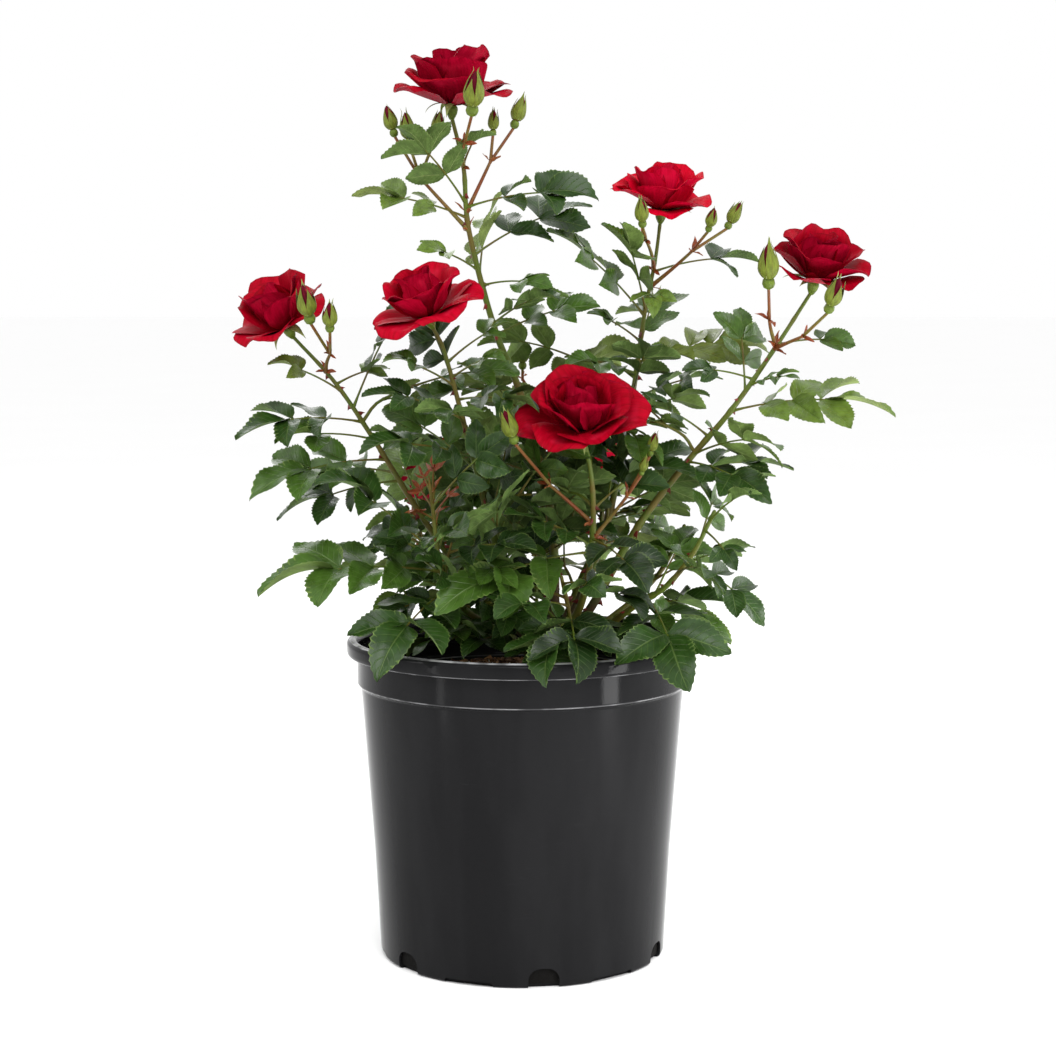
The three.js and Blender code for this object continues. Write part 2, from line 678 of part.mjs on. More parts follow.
const shrub = Object.entries(CANES).map(([name, cane]) => {
  const points = cane.path.map(vector);
  const curve = new THREE.CatmullRomCurve3(points, false, 'catmullrom', 0.5);
  const share = GAP / curve.getLength();
  const [boughEnd, stemEnd] = cane.ends;
  const bough = caneLimb(curve, 0, boughEnd, cane.radii, BOUGH_SIDES).subtract(crownCutter);
  const stem = caneLimb(curve, boughEnd + share, stemEnd, cane.radii, STEM_SIDES);
  const shoots = cane.shoots.flatMap((shoot) => makeShoot(curve, shoot));
  place(bough, `bough_${name}`);
  place(stem, `stem_${name}`);
  shoots.forEach((piece) => place(piece, `stem_${name}`));
  const plant = { name, cane, curve, bough, mass: [stem, ...shoots], bloom: null };
  if (cane.bloom) {
    const facing = vector(cane.bloom.facing).normalize();
    const hip = curve.getPointAt(1).addScaledVector(facing, HIP_LENGTH * (1 - HIP_SINK));
    const stalk = caneLimb(curve, stemEnd + share, 1, cane.radii, STEM_SIDES);
    plant.bloom = join([stalk, ...makeBloom(hip, facing, cane.bloom.radius)]);
    place(plant.bloom, `bloom_${name}`);
  }
  return plant;
});

// Adds a leaf to its mass if it keeps clear of everything but its own stem.
function addLeaf(plant, spot, pairs) {
  const leaf = compoundLeaf(spot, pairs);
  const clear = isClear(leaf, `stem_${plant.name}`);
  if (clear) {
    place(leaf, `leaf_${plant.name}`);
    plant.mass.push(leaf);
  }
  return clear;
}

for (const plant of shrub) {
  for (const [height, tip, pairs] of plant.cane.reaches) {
    REACH_SHIFTS.some((shift) => {
      const base = plant.curve.getPointAt(shareAtHeight(plant.curve, height + shift));
      return addLeaf(plant, [base, vector(tip), REACH_FACING], pairs);
    });
  }
}
for (const plant of shrub) {
  const nextTry = leafRule(plant.cane, plant.curve);
  for (let i = 0; i < plant.cane.leaves.count; i += 1) {
    let tries = 1;
    while (!addLeaf(plant, nextTry(i), plant.cane.leaves.pairs) && tries < LEAF_TRIES) {
      tries += 1;
    }
  }
}

const group = new THREE.Group();
group.add(
  meshOf('pot', pot, 'pot'),
  meshOf('potting_mix', pottingMix, 'mix'),
  meshOf('crown', crown, 'wood'),
);
for (const { name, bough, mass, bloom } of shrub) {
  group.add(meshOf(`bough_${name}`, bough, 'cane'));
  group.add(meshOf(`foliage_${name}`, join(mass), 'leaves'));
  if (bloom) {
    group.add(meshOf(`bloom_${name}`, bloom, 'petals'));
  }
}

export default group;
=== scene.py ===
"""Looks for a young shrub rose with red blooms, growing in a black nursery pot.

The plant grows by the same rule as its solids, in millimetres: every cane, leaf, bud and bloom has
the solid's place, and is made here in full detail. Extra leaves then fill the thickets between.
The canes come first, then leaves, buds and blooms, the crown, the pot and its mix, and the studio.
"""

import math
from dataclasses import dataclass
from functools import lru_cache

import bpy
import numpy as np
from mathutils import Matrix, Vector, noise
from mathutils.bvhtree import BVHTree
from mathutils.kdtree import KDTree


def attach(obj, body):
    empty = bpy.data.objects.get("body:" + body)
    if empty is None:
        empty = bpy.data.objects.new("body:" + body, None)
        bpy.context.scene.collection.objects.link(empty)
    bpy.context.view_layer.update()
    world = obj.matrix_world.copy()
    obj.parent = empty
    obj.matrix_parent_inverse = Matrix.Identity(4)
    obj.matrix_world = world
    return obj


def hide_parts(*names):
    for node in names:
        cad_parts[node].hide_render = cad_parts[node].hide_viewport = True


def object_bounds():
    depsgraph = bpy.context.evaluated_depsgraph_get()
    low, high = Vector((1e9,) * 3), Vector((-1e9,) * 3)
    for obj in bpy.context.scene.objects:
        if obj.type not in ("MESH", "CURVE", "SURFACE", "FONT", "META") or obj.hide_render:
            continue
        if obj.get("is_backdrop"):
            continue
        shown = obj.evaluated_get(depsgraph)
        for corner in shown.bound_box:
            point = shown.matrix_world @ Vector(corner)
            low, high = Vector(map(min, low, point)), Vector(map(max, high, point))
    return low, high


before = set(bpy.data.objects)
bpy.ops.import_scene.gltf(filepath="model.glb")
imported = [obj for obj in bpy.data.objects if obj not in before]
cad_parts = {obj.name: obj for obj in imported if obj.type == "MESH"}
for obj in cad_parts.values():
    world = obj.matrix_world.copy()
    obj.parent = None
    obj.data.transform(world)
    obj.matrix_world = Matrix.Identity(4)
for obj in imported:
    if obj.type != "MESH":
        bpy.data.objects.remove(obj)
cad_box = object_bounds()

MM = 0.001
UP = np.array([0.0, 0.0, 1.0])

# Pot and potting mix, in millimetres.
POT_SEGMENTS = 160
POT_HEIGHT = 254
LIP_RADIUS = 140
LIP_BOTTOM = 241.5
BAND_RADIUS = 131.8
BAND_BOTTOM = 218.5
WAIST_RADIUS = 118.7
WAIST_HEIGHT = 85
FOOT_RADIUS = 114
WALL = 2
FLOOR = 3
BAND_STEP = 3
LIP_WIDTH = 7
LIP_ROUNDING = 2.5
POT_ROUNDING = 1.6
RIBS = 11
RIB_DEPTH = 0.5
RIB_SPACING = 1.6
RIBS_BELOW_RIM = 9
# Openings round the foot, six of each: width, height and the angle of the first, in degrees.
OPENINGS = 6
CUTTER_DEPTH = 6
DRAIN_HOLE = (24, 15.5, 8.5)
FOOT_NOTCH = (40, 4, 38.5)
MIX_EDGE_HEIGHT = 213
MIX_TOP = 222
MIX_GAP = 0.6
CHIPS = 2300
PERLITE_SHARE = 0.05
PERLITE_SIZE = (2.6, 2.4, 2.2)
CHIP_SIZES = ((3, 13), (2, 6), (1, 3))
LIGHT_CHIPS = 0.4
MIX_ROUGHNESS = 2.2
# Heights of the edges that carry a painted highlight, a thin pale line, and how pale each is.
EDGE_HIGHLIGHTS = [(POT_HEIGHT - 0.3, 0.8), (LIP_BOTTOM + 0.4, 0.35), (BAND_BOTTOM + 0.2, 0.4)]

# Crown: the woody foot of the shrub.
CROWN_CENTRE = (22, 5)
CROWN_LEAN = (0.08, 0.05)
CROWN_FOOT = 222.3
CROWN_HEIGHT = 37
CROWN_RADII = (28, 19, 16, 9)
CROWN_FLARE = 0.18
BARK_RELIEF = 2.6
BURL_RELIEF = 2.4

# Twigs and leaves. Lengths on a leaf are shares of its whole length, counted from its base.
SHOOT_RADII = (1.7, 1.2)
PEDICEL_RADII = (1.3, 1.15)
GOLDEN_TURN = math.radians(137.5)
LEAF_LENGTH = 104
LEAF_PAIRS = 2
LEAF_ARCH = 0.13
LEAF_TRIES = 8
STEM_MARGINS = (0.02, 0.04)
LEAF_STEPS = (0.1, 0.9)
LEAF_TURNS = (-1, 1)
LEAF_RISES = (8, 42)
LEAF_SIZES = (0.85, 1.15)
STEEPEST_FALL = -0.35
LEAF_LEAN = 0.7
LEAF_ROLLS = (-0.5, 0.5)
REACH_FACING = np.array([0, -0.4, 0.92])
REACH_SHIFTS = (0, 6, -6, 12, -12, 18, -18)
STALK_RADII = (0.9, 0.5)
TERMINAL_START = 0.57
PAIR_START = 0.54
PAIR_SPREAD = 0.5
PAIR_ANGLE = math.radians(58)
LEAFLET_LENGTHS = (0.38, 0.33, 0.26)
LEAFLET_WIDTH = 0.62
# How near one of the solid's corners lies to the point of every leaflet that it holds.
LEAF_MATCH = 0.1

HIP_LENGTH = 11
HIP_SINK = 0.2


@dataclass
class Cane:
    """A cane: the points of its curve, its radii at foot and tip, the shares of its length where
    its leafy part starts and ends, and how many leaves the rule deals it, of what relative size.

    A reach is a leaf with a chosen tip: the height at which it leaves the cane, the tip, and its
    pairs of leaflets. A shoot leaves the cane at a height for a fork, and has buds on stalks, each
    a place and a length. The bloom is a radius and the way it faces.
    """

    seed: int
    path: list
    radii: tuple
    ends: tuple
    leaves: int
    leaf_size: float
    reaches: tuple = ()
    shoots: tuple = ()
    bloom: tuple = None


CANES = {
    "tall": Cane(
        seed=11, radii=(4.1, 1.5), ends=(0.13, 0.93), leaves=6, leaf_size=0.92,
        path=[(24, 11, 248), (26, 16, 300), (21, 18, 362), (-2, 20, 448), (-22, 15, 499),
              (-42, 8, 576), (-46, 4, 625), (-55, 0, 664)],
        reaches=[(594, (60, -10, 602), 2), (586, (-133, -10, 602), 2), (557, (57, 60, 598), 2),
                 (545, (-80, -30, 562), 1), (533, (24, -25, 531), 1), (494, (62, 10, 518), 2),
                 (627, (-31, -38, 651), 1)],
        shoots=[(576, (-80, 0, 617), [(-99, -6, 648, 25), (-87, -12, 640, 27), (-68, -8, 646, 22)]),
                (590, (-25, 10, 630), [(-23, 8, 650, 20), (-7, 14, 656, 27)]),
                (626, (-44, -32, 642), [(-38, -60, 660, 36)])],
        bloom=(48, (0.05, -0.12, 1))),
    "mid_left": Cane(
        seed=23, radii=(3.5, 1.4), ends=(0.17, 0.93), leaves=6, leaf_size=0.95,
        path=[(15, 1, 246), (2, -10, 285), (-17, -20, 318), (-37, -35, 395), (-53, -45, 458),
              (-61, -50, 486), (-69, -54, 502)],
        reaches=[(456, (-105, -80, 478), 1), (456, (-13, -80, 480), 1), (445, (14, -90, 439), 2),
                 (430, (-122, -66, 452), 2), (474, (-6, -40, 506), 1), (400, (-122, -94, 410), 2)],
        bloom=(42, (-0.3, -0.34, 0.88))),
    "far_left": Cane(
        seed=37, radii=(3.3, 1.3), ends=(0.18, 0.92), leaves=4, leaf_size=0.9,
        path=[(12, 9, 244), (-16, 14, 270), (-48, 8, 304), (-81, 0, 352), (-118, -10, 414),
              (-147, -18, 458), (-179, -24, 494)],
        reaches=[(426, (-221, -60, 420), 2), (412, (-191, -50, 413), 1), (396, (-214, -40, 372), 2),
                 (379, (-193, -20, 349), 2), (456, (-105, 10, 468), 1), (450, (-197, -34, 474), 1)],
        shoots=[(466, (-148, -42, 480), [(-159, -80, 504, 33), (-144, -88, 498, 26)])],
        bloom=(42, (-0.42, -0.4, 0.8))),
    "front": Cane(
        seed=41, radii=(3.6, 1.5), ends=(0.22, 0.9), leaves=5, leaf_size=0.95,
        path=[(27, -3, 246), (44, -16, 276), (52, -32, 310), (55, -50, 352), (53, -62, 388),
              (47, -70, 418)],
        reaches=[(337, (94, -122, 307), 2), (320, (-66, -114, 290), 2)],
        shoots=[(337, (80, -54, 370), [(98, -56, 402, 19), (91, -64, 388, 16)]),
                (349, (22, -64, 380), [(-5, -92, 414, 28)])],
        bloom=(47, (-0.08, -0.62, 0.78))),
    "upper_right": Cane(
        seed=59, radii=(3.5, 1.3), ends=(0.16, 0.93), leaves=6, leaf_size=0.92,
        path=[(31, 10, 248), (50, 24, 290), (70, 38, 345), (89, 48, 441), (99, 50, 510),
              (107, 46, 552), (111, 42, 585)],
        reaches=[(509, (20, 10, 578), 2), (544, (193, 60, 553), 1), (534, (104, -5, 511), 1),
                 (471, (207, 70, 485), 3), (462, (34, 2, 470), 2), (488, (52, 26, 512), 1),
                 (440, (160, 8, 462), 2)],
        shoots=[(532, (135, 26, 560), [(146, 2, 575, 21), (163, 30, 578, 24)]),
                (546, (98, 8, 568), [(94, -14, 578, 25)])],
        bloom=(41, (0.05, -0.25, 0.96))),
    "far_right": Cane(
        seed=67, radii=(3.7, 1.4), ends=(0.15, 0.91), leaves=4, leaf_size=0.9,
        path=[(33, 4, 246), (56, 0, 279), (93, -8, 345), (130, -15, 395), (164, -25, 437),
              (194, -30, 481), (224, -31, 528)],
        reaches=[(487, (261, -20, 487), 1), (455, (212, -62, 463), 2), (460, (124, -34, 467), 1),
                 (435, (289, -50, 438), 3), (415, (88, -62, 445), 1), (395, (188, -82, 370), 2),
                 (392, (214, -18, 391), 2)],
        shoots=[(486, (189, -56, 506), [(186, -76, 530, 36)]),
                (484, (214, -60, 494), [(229, -88, 512, 30)])],
        bloom=(41, (0.18, -0.3, 0.92))),
    "low_right": Cane(
        seed=71, radii=(3.2, 1.5), ends=(0.3, 1), leaves=4, leaf_size=0.85,
        path=[(34, -1, 238), (64, -17, 262), (92, -35, 286), (112, -45, 300), (132, -55, 327),
              (148, -60, 360)],
        reaches=[(321, (190, -58, 272), 2), (345, (163, -92, 318), 1), (352, (169, -112, 378), 1),
                 (290, (119, -158, 240), 2)]),
    "low_left": Cane(
        seed=83, radii=(3.2, 1.4), ends=(0.3, 1), leaves=4, leaf_size=0.9,
        path=[(14, -5, 241), (-20, -20, 262), (-48, -36, 284), (-63, -55, 318), (-70, -65, 377)],
        reaches=[(312, (-202, -90, 304), 3), (322, (-151, -110, 393), 2),
                 (292, (-116, -70, 274), 2), (280, (-108, -150, 250), 2)]),
    "low_front": Cane(
        seed=97, radii=(2.8, 1.4), ends=(0.3, 1), leaves=3, leaf_size=0.85,
        path=[(22, -9, 240), (30, -36, 262), (36, -62, 280), (30, -82, 312)],
        reaches=[(272, (13, -156, 246), 2), (286, (42, -166, 246), 2), (300, (-20, -140, 290), 2),
                 (306, (60, -148, 306), 1)]),
    "back_left": Cane(
        seed=101, radii=(3.7, 1.5), ends=(0.24, 0.92), leaves=7, leaf_size=1,
        path=[(14, 14, 244), (-8, 46, 282), (-34, 88, 318), (-54, 118, 342), (-62, 138, 358)],
        bloom=(39, (-0.35, 0.7, 0.6))),
    "back_mid": Cane(
        seed=113, radii=(3.7, 1.5), ends=(0.2, 1), leaves=7, leaf_size=1,
        path=[(22, 17, 246), (20, 50, 310), (14, 85, 400), (2, 92, 452)],
        shoots=[(444, (0, 94, 456), [(0, 92, 464, 26)])]),
    "back_right": Cane(
        seed=127, radii=(3.7, 1.5), ends=(0.24, 0.92), leaves=7, leaf_size=1,
        path=[(28, 19, 244), (46, 50, 288), (66, 88, 332), (62, 122, 366), (52, 142, 384)],
        bloom=(38, (0.1, 0.8, 0.55))),
    "low_back_left": Cane(
        seed=131, radii=(3.2, 1.5), ends=(0.26, 1), leaves=5, leaf_size=0.95,
        path=[(10, 16, 236), (-26, 42, 254), (-62, 72, 286), (-88, 84, 330)]),
    "low_back_right": Cane(
        seed=149, radii=(3.2, 1.5), ends=(0.26, 1), leaves=6, leaf_size=0.95,
        path=[(33, 12, 242), (76, 40, 266), (112, 62, 296), (134, 70, 336)]),
}

# Each bloom's seed, how far it has opened (1 is open, more is overblown), and its tint.
BLOOM_LOOKS = {
    "tall": (3, 0.75, 0),
    "mid_left": (5, 1.6, 2),
    "far_left": (8, 0.7, 0),
    "front": (13, 0.8, 0),
    "upper_right": (21, 0.9, 1),
    "far_right": (34, 0.85, 0),
    "back_left": (55, 0.7, 0),
    "back_right": (89, 0.8, 1),
}

# The canes whose tips open into soft red young leaves.
YOUNG_TIPS = ("low_left", "low_back_left")

# Thickets that more leaves fill: centre, half sizes and how many twigs.
THICKETS = [
    ((0, -50, 320), (115, 60, 50), 23),
    ((20, -35, 285), (70, 45, 30), 12),
    ((10, -30, 390), (105, 60, 50), 14),
    ((60, 0, 410), (80, 60, 50), 14),
    ((-55, -10, 440), (50, 50, 40), 8),
    ((70, 10, 470), (45, 45, 35), 6),
    ((0, 90, 350), (110, 60, 70), 24),
    ((10, 60, 440), (60, 40, 50), 8),
]
# Leaves that hang low in the pot's mouth: their cane, the height at which they leave it, their tip.
LOW_LEAVES = [
    ("low_left", 256, (-45, -84, 254)),
    ("low_left", 264, (-74, -74, 266)),
    ("far_left", 258, (-80, -36, 262)),
    ("mid_left", 268, (-18, -78, 264)),
    ("low_left", 270, (-58, -100, 268)),
    ("low_front", 262, (-22, -96, 268)),
    ("front", 262, (74, -78, 262)),
    ("low_right", 250, (92, -56, 252)),
]


# Vectors and chance ------------------------------------------------------------------------------

def unit(vector):
    return vector / np.linalg.norm(vector)


def between(limits, share):
    return limits[0] + (limits[1] - limits[0]) * share


def random_from(seed):
    """Repeatable random numbers from 0 to 1, the same that deal the solids' leaves."""
    mask = 0xFFFFFFFF
    state = seed

    def draw():
        nonlocal state
        state = (state + 0x6D2B79F5) & mask
        mixed = ((state ^ (state >> 15)) * (state | 1)) & mask
        mixed ^= (mixed + (mixed ^ (mixed >> 7)) * (mixed | 61)) & mask
        return (mixed ^ (mixed >> 14)) / 4294967296

    return draw


class Curve:
    """A smooth curve through points, read by its share of the whole length."""

    def __init__(self, points):
        self.points = np.array(points, float)
        self.shares = np.linspace(0, 1, 201)
        spots = np.array([self.spot(share) for share in self.shares])
        steps = np.linalg.norm(np.diff(spots, axis=0), axis=1)
        self.lengths = np.concatenate([[0], np.cumsum(steps)])
        self.length = self.lengths[-1]

    def spot(self, share):
        points = self.points
        last = len(points) - 1
        i = min(int(share * last), last - 1)
        t = share * last - i
        before = points[i - 1] if i > 0 else 2 * points[0] - points[1]
        after = points[i + 2] if i + 2 <= last else 2 * points[last] - points[last - 1]
        start, end = points[i], points[i + 1]
        leave, arrive = (end - before) / 2, (after - start) / 2
        bend = -3 * start + 3 * end - 2 * leave - arrive
        twist = 2 * start - 2 * end + leave + arrive
        return start + leave * t + bend * t ** 2 + twist * t ** 3

    def at(self, share):
        return self.spot(np.interp(share * self.length, self.lengths, self.shares))

    def tangent(self, share):
        middle = np.interp(share * self.length, self.lengths, self.shares)
        return unit(self.spot(min(middle + 1e-4, 1)) - self.spot(max(middle - 1e-4, 0)))

    def at_height(self, height):
        """Where the rising curve reaches a height."""
        low, high = 0, 1
        for _ in range(24):
            middle = (low + high) / 2
            low, high = (middle, high) if self.at(middle)[2] < height else (low, middle)
        return self.at(low)


def cross_axes(along, overall):
    """Two directions square to `along`, on a limb that leads `overall`."""
    sideways = np.array([1.0, 0, 0]) if abs(overall[0]) < abs(overall[1]) else np.array([0, 1.0, 0])
    across = UP if abs(overall[2]) < 0.4 * np.linalg.norm(overall) else sideways
    across = unit(across - across @ along * along)
    return across, np.cross(along, across)


def turned_to(axis):
    """Three axes as rows, the last of them along `axis`."""
    across = unit(np.cross(axis, [0.3, 0.9, 0.1] if abs(axis[2]) > 0.9 else UP))
    return np.array([across, np.cross(axis, across), axis])


def turning(angle):
    """A matrix that turns rows of coordinates about the third axis."""
    cos, sin = math.cos(angle), math.sin(angle)
    return np.array([[cos, sin, 0], [-sin, cos, 0], [0, 0, 1]])


# Meshes ------------------------------------------------------------------------------------------

# Each material slot of a mesh with its own UV layout has its own square of a sheet of squares.
SHEET = 4
SHEET_MARGIN = 0.02


def grid_layout(rows, columns):
    """A grid's layout, from its rows (0 to 1) and its columns (-1 to 1)."""
    return np.stack(np.broadcast_arrays(rows[:, None], (columns + 1) / 2), -1)


class Sheaf:
    """Surfaces gathered for one mesh, in millimetres."""

    def __init__(self, has_layout=False):
        self.has_layout = has_layout
        self.corners, self.faces, self.slots, self.layouts = [], [], [], []
        self.count = 0

    def add(self, corners, *face_sets, slots=0, layout=None):
        """Adds sets of faces on some corners, each with its own slot or all with the same."""
        for faces, slot in zip(face_sets, np.broadcast_to(slots, len(face_sets))):
            self.faces.append(faces + self.count)
            self.slots.append(np.full(len(faces), slot))
            if self.has_layout:
                inside = SHEET_MARGIN + (1 - 2 * SHEET_MARGIN) * layout[faces].reshape(-1, 2)
                self.layouts.append((inside + [slot % SHEET, slot // SHEET]) / SHEET)
        self.corners.append(corners)
        self.count += len(corners)

    def build(self, name, materials, slot, replaces=(), sharp=50):
        """Makes the Blender mesh, which rides on the plant. The argument `slot` is not used."""
        mesh = bpy.data.meshes.new(name)
        corners = np.concatenate(self.corners) * MM
        mesh.vertices.add(len(corners))
        mesh.vertices.foreach_set("co", corners.ravel())
        loops = np.concatenate([faces.ravel() for faces in self.faces]).astype(np.int32)
        sizes = np.concatenate([np.full(len(faces), faces.shape[1]) for faces in self.faces])
        starts = np.concatenate([[0], np.cumsum(sizes)[:-1]]).astype(np.int32)
        mesh.loops.add(len(loops))
        mesh.loops.foreach_set("vertex_index", loops)
        mesh.polygons.add(len(sizes))
        mesh.polygons.foreach_set("loop_start", starts)
        mesh.polygons.foreach_set("material_index", np.concatenate(self.slots).astype(np.int32))
        mesh.update(calc_edges=True)
        if self.has_layout:
            layout = mesh.uv_layers.new(name="OFBake")
            layout.uv.foreach_set("vector", np.concatenate(self.layouts).astype(np.float32).ravel())
        finish_piece(name, mesh, materials, replaces, sharp)


def show(name, data):
    """A new object of the scene for a mesh, a lamp or a camera."""
    shown = bpy.data.objects.new(name, data)
    bpy.context.scene.collection.objects.link(shown)
    return shown


def finish_piece(name, mesh, materials, replaces, sharp):
    """Shades a mesh, gives it its materials, and lets it ride on the plant as a piece."""
    mesh.shade_smooth()
    mesh.set_sharp_from_angle(angle=math.radians(sharp))
    for material in materials:
        mesh.materials.append(material)
    piece = show(name, mesh)
    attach(piece, "root")
    if replaces:
        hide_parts(*replaces)


def quads(numbers):
    """Faces between neighbours in a grid of corner numbers."""
    around = [numbers[:-1, :-1], numbers[:-1, 1:], numbers[1:, 1:], numbers[1:, :-1]]
    return np.stack(around, -1).reshape(-1, 4)


def ring_quads(numbers):
    """Faces between rings of corner numbers, which are the rows."""
    return quads(np.concatenate([numbers, numbers[:, :1]], axis=1))


def cap(middle, ring):
    """Triangles from a middle corner to a ring of corners."""
    return np.stack([np.full(len(ring), middle), ring, np.roll(ring, -1)], 1)


def both_caps(start, first, end, last):
    """The caps of a run of rings, from a corner at its start and one at its end."""
    return np.concatenate([cap(start, first)[:, [0, 2, 1]], cap(end, last)])


@lru_cache(maxsize=None)
def grid_faces(rows, columns):
    return quads(np.arange(rows * columns).reshape(rows, columns))


@lru_cache(maxsize=None)
def blade_faces(rows, columns):
    """Upper and under faces of a thin blade, which share the corners along its edge."""
    upper = np.arange(rows * columns).reshape(rows, columns)
    under = upper.copy()
    inner = (rows - 2) * (columns - 2)
    under[1:-1, 1:-1] = rows * columns + np.arange(inner).reshape(rows - 2, columns - 2)
    return quads(upper), quads(under)[:, ::-1]


def add_blade(sheaf, surface, thickness, slots, layout):
    """A thin closed blade: its upper surface is a grid of points, and its edge is sharp."""
    rows, columns = surface.shape[:2]
    normals = np.cross(np.gradient(surface, axis=1), np.gradient(surface, axis=0))
    normals /= np.linalg.norm(normals, axis=2, keepdims=True) + 1e-9
    under = (surface - normals * thickness)[1:-1, 1:-1]
    corners = np.concatenate([surface.reshape(-1, 3), under.reshape(-1, 3)])
    layout = np.concatenate([layout.reshape(-1, 2), layout[1:-1, 1:-1].reshape(-1, 2)])
    sheaf.add(corners, *blade_faces(rows, columns), slots=slots, layout=layout)


# The rounded end of a limb, as shares of its last radius.
END_RADIUS = 0.6
END_LENGTH = 0.7


def add_tube(sheaf, spots, radii, sides, slot=0):
    """A closed limb round a line of points, with a rounded cap at its end."""
    spots = np.array(spots, float)
    radii = np.append(np.broadcast_to(radii, len(spots)), radii[-1] * END_RADIUS)
    along = np.gradient(spots, axis=0)
    along /= np.linalg.norm(along, axis=1, keepdims=True)
    spots = np.concatenate([spots, [spots[-1] + along[-1] * radii[-2] * END_LENGTH]])
    along = np.concatenate([along, along[-1:]])
    across = cross_axes(along[0], spots[-1] - spots[0])[0]
    turns = np.linspace(0, 2 * np.pi, sides, endpoint=False)[:, None]
    rings = []
    for spot, direction, radius in zip(spots, along, radii):
        across = unit(across - across @ direction * direction)
        outward = np.cross(direction, across)
        rings.append(spot + radius * (np.cos(turns) * across + np.sin(turns) * outward))
    numbers = np.arange(len(spots) * sides).reshape(-1, sides)
    start = len(spots) * sides
    caps = both_caps(start, numbers[0], start + 1, numbers[-1])
    corners = np.concatenate(rings + [spots[:1], spots[-1:]])
    sheaf.add(corners, ring_quads(numbers), caps, slots=slot)


def lathe(profile, segments):
    """Corners and faces of a profile of (radius, height), turned right round from pole to pole."""
    profile = np.array(profile, float)
    turns = np.linspace(0, 2 * np.pi, segments, endpoint=False)
    rings = profile[1:-1, None, :1] * np.stack([np.cos(turns), np.sin(turns)], -1)
    heights = np.broadcast_to(profile[1:-1, None, 1:], rings.shape[:2] + (1,))
    numbers = np.arange(len(rings) * segments).reshape(-1, segments)
    poles = [[0, 0, profile[0, 1]], [0, 0, profile[-1, 1]]]
    corners = np.concatenate([np.concatenate([rings, heights], -1).reshape(-1, 3), poles])
    caps = both_caps(len(corners) - 2, numbers[0], len(corners) - 1, numbers[-1])
    return corners, ring_quads(numbers), caps


# Materials ---------------------------------------------------------------------------------------

def colour(red, green, blue):
    """A linear colour from 8-bit sRGB values."""
    values = [value / 255 for value in (red, green, blue)]
    linear = [v / 12.92 if v < 0.04045 else ((v + 0.055) / 1.055) ** 2.4 for v in values]
    return (*linear, 1.0)


class Nodes:
    """A material's node tree, with short calls for the nodes that the looks share."""

    def __init__(self, name, **inputs):
        self.material = bpy.data.materials.new(name)
        self.material.use_nodes = True
        self.tree = self.material.node_tree
        self.shader = self.tree.nodes["Principled BSDF"]
        for socket, value in inputs.items():
            self.shader.inputs[socket.replace("_", " ")].default_value = value

    def node(self, kind, inputs=(), **settings):
        node = self.tree.nodes.new(kind)
        for setting, value in settings.items():
            setattr(node, setting, value)
        for socket, value in dict(inputs).items():
            self.put(node.inputs[socket], value)
        return node

    def put(self, socket, value):
        if isinstance(value, bpy.types.NodeSocket):
            self.tree.links.new(value, socket)
        else:
            socket.default_value = value

    def to_shader(self, **inputs):
        for socket, value in inputs.items():
            self.put(self.shader.inputs[socket.replace("_", " ")], value)

    def finish(self, base, pattern, roughness, height, strength, depth):
        """Ends a material whose roughness follows a pattern, and whose skin is bumpy."""
        self.to_shader(Base_Color=base, Roughness=self.ramp(pattern, 0.3, 0.7, *roughness),
                       Normal=self.bump(height, strength, depth))
        return self.material

    def math(self, operation, first, second=0.0, third=0.0):
        return self.node("ShaderNodeMath", {0: first, 1: second, 2: third},
                         operation=operation).outputs[0]

    def ramp(self, value, low, high, start=0.0, end=1.0):
        """`value` from low..high turned smoothly into start..end."""
        return self.node("ShaderNodeMapRange", {"Value": value, "From Min": low, "From Max": high,
                                                "To Min": start, "To Max": end},
                         interpolation_type="SMOOTHSTEP").outputs["Result"]

    def mix(self, share, first, second, blend="MIX"):
        node = self.node("ShaderNodeMix", data_type="RGBA", blend_type=blend)
        self.put(node.inputs["Factor"], share)
        self.put(node.inputs[6], first)
        self.put(node.inputs[7], second)
        return node.outputs[2]

    def place(self):
        """Where a point is on the object, in metres."""
        return self.node("ShaderNodeTexCoord").outputs["Object"]

    def noise(self, scale, where, detail=3.0, roughness=0.55):
        return self.node("ShaderNodeTexNoise", {"Scale": scale, "Detail": detail,
                                                "Roughness": roughness, "Vector": where}).outputs[0]

    def stretch(self, where, scale):
        return self.node("ShaderNodeMapping", {"Vector": where, "Scale": scale}).outputs[0]

    def height(self, where):
        return self.node("ShaderNodeSeparateXYZ", {"Vector": where}).outputs[2]

    def bump(self, height, strength, distance):
        return self.node("ShaderNodeBump", {"Height": height, "Strength": strength,
                                            "Distance": distance}).outputs[0]

    def sheet_square(self):
        """A point's place in its own square of the UV sheet: the square, then its two shares."""
        sheet = self.node("ShaderNodeUVMap", uv_map="OFBake").outputs[0]
        scaled = self.node("ShaderNodeVectorMath", {0: sheet, 1: (SHEET, SHEET, 1)},
                           operation="MULTIPLY").outputs[0]
        square = self.node("ShaderNodeVectorMath", {0: scaled}, operation="FRACTION").outputs[0]
        parts = self.node("ShaderNodeSeparateXYZ", {0: square}).outputs
        return square, parts[0], parts[1]


# How many rows of side veins a leaf has, and how far they arch towards its point.
SIDE_VEINS = 8.5
VEIN_LEAN = 0.26


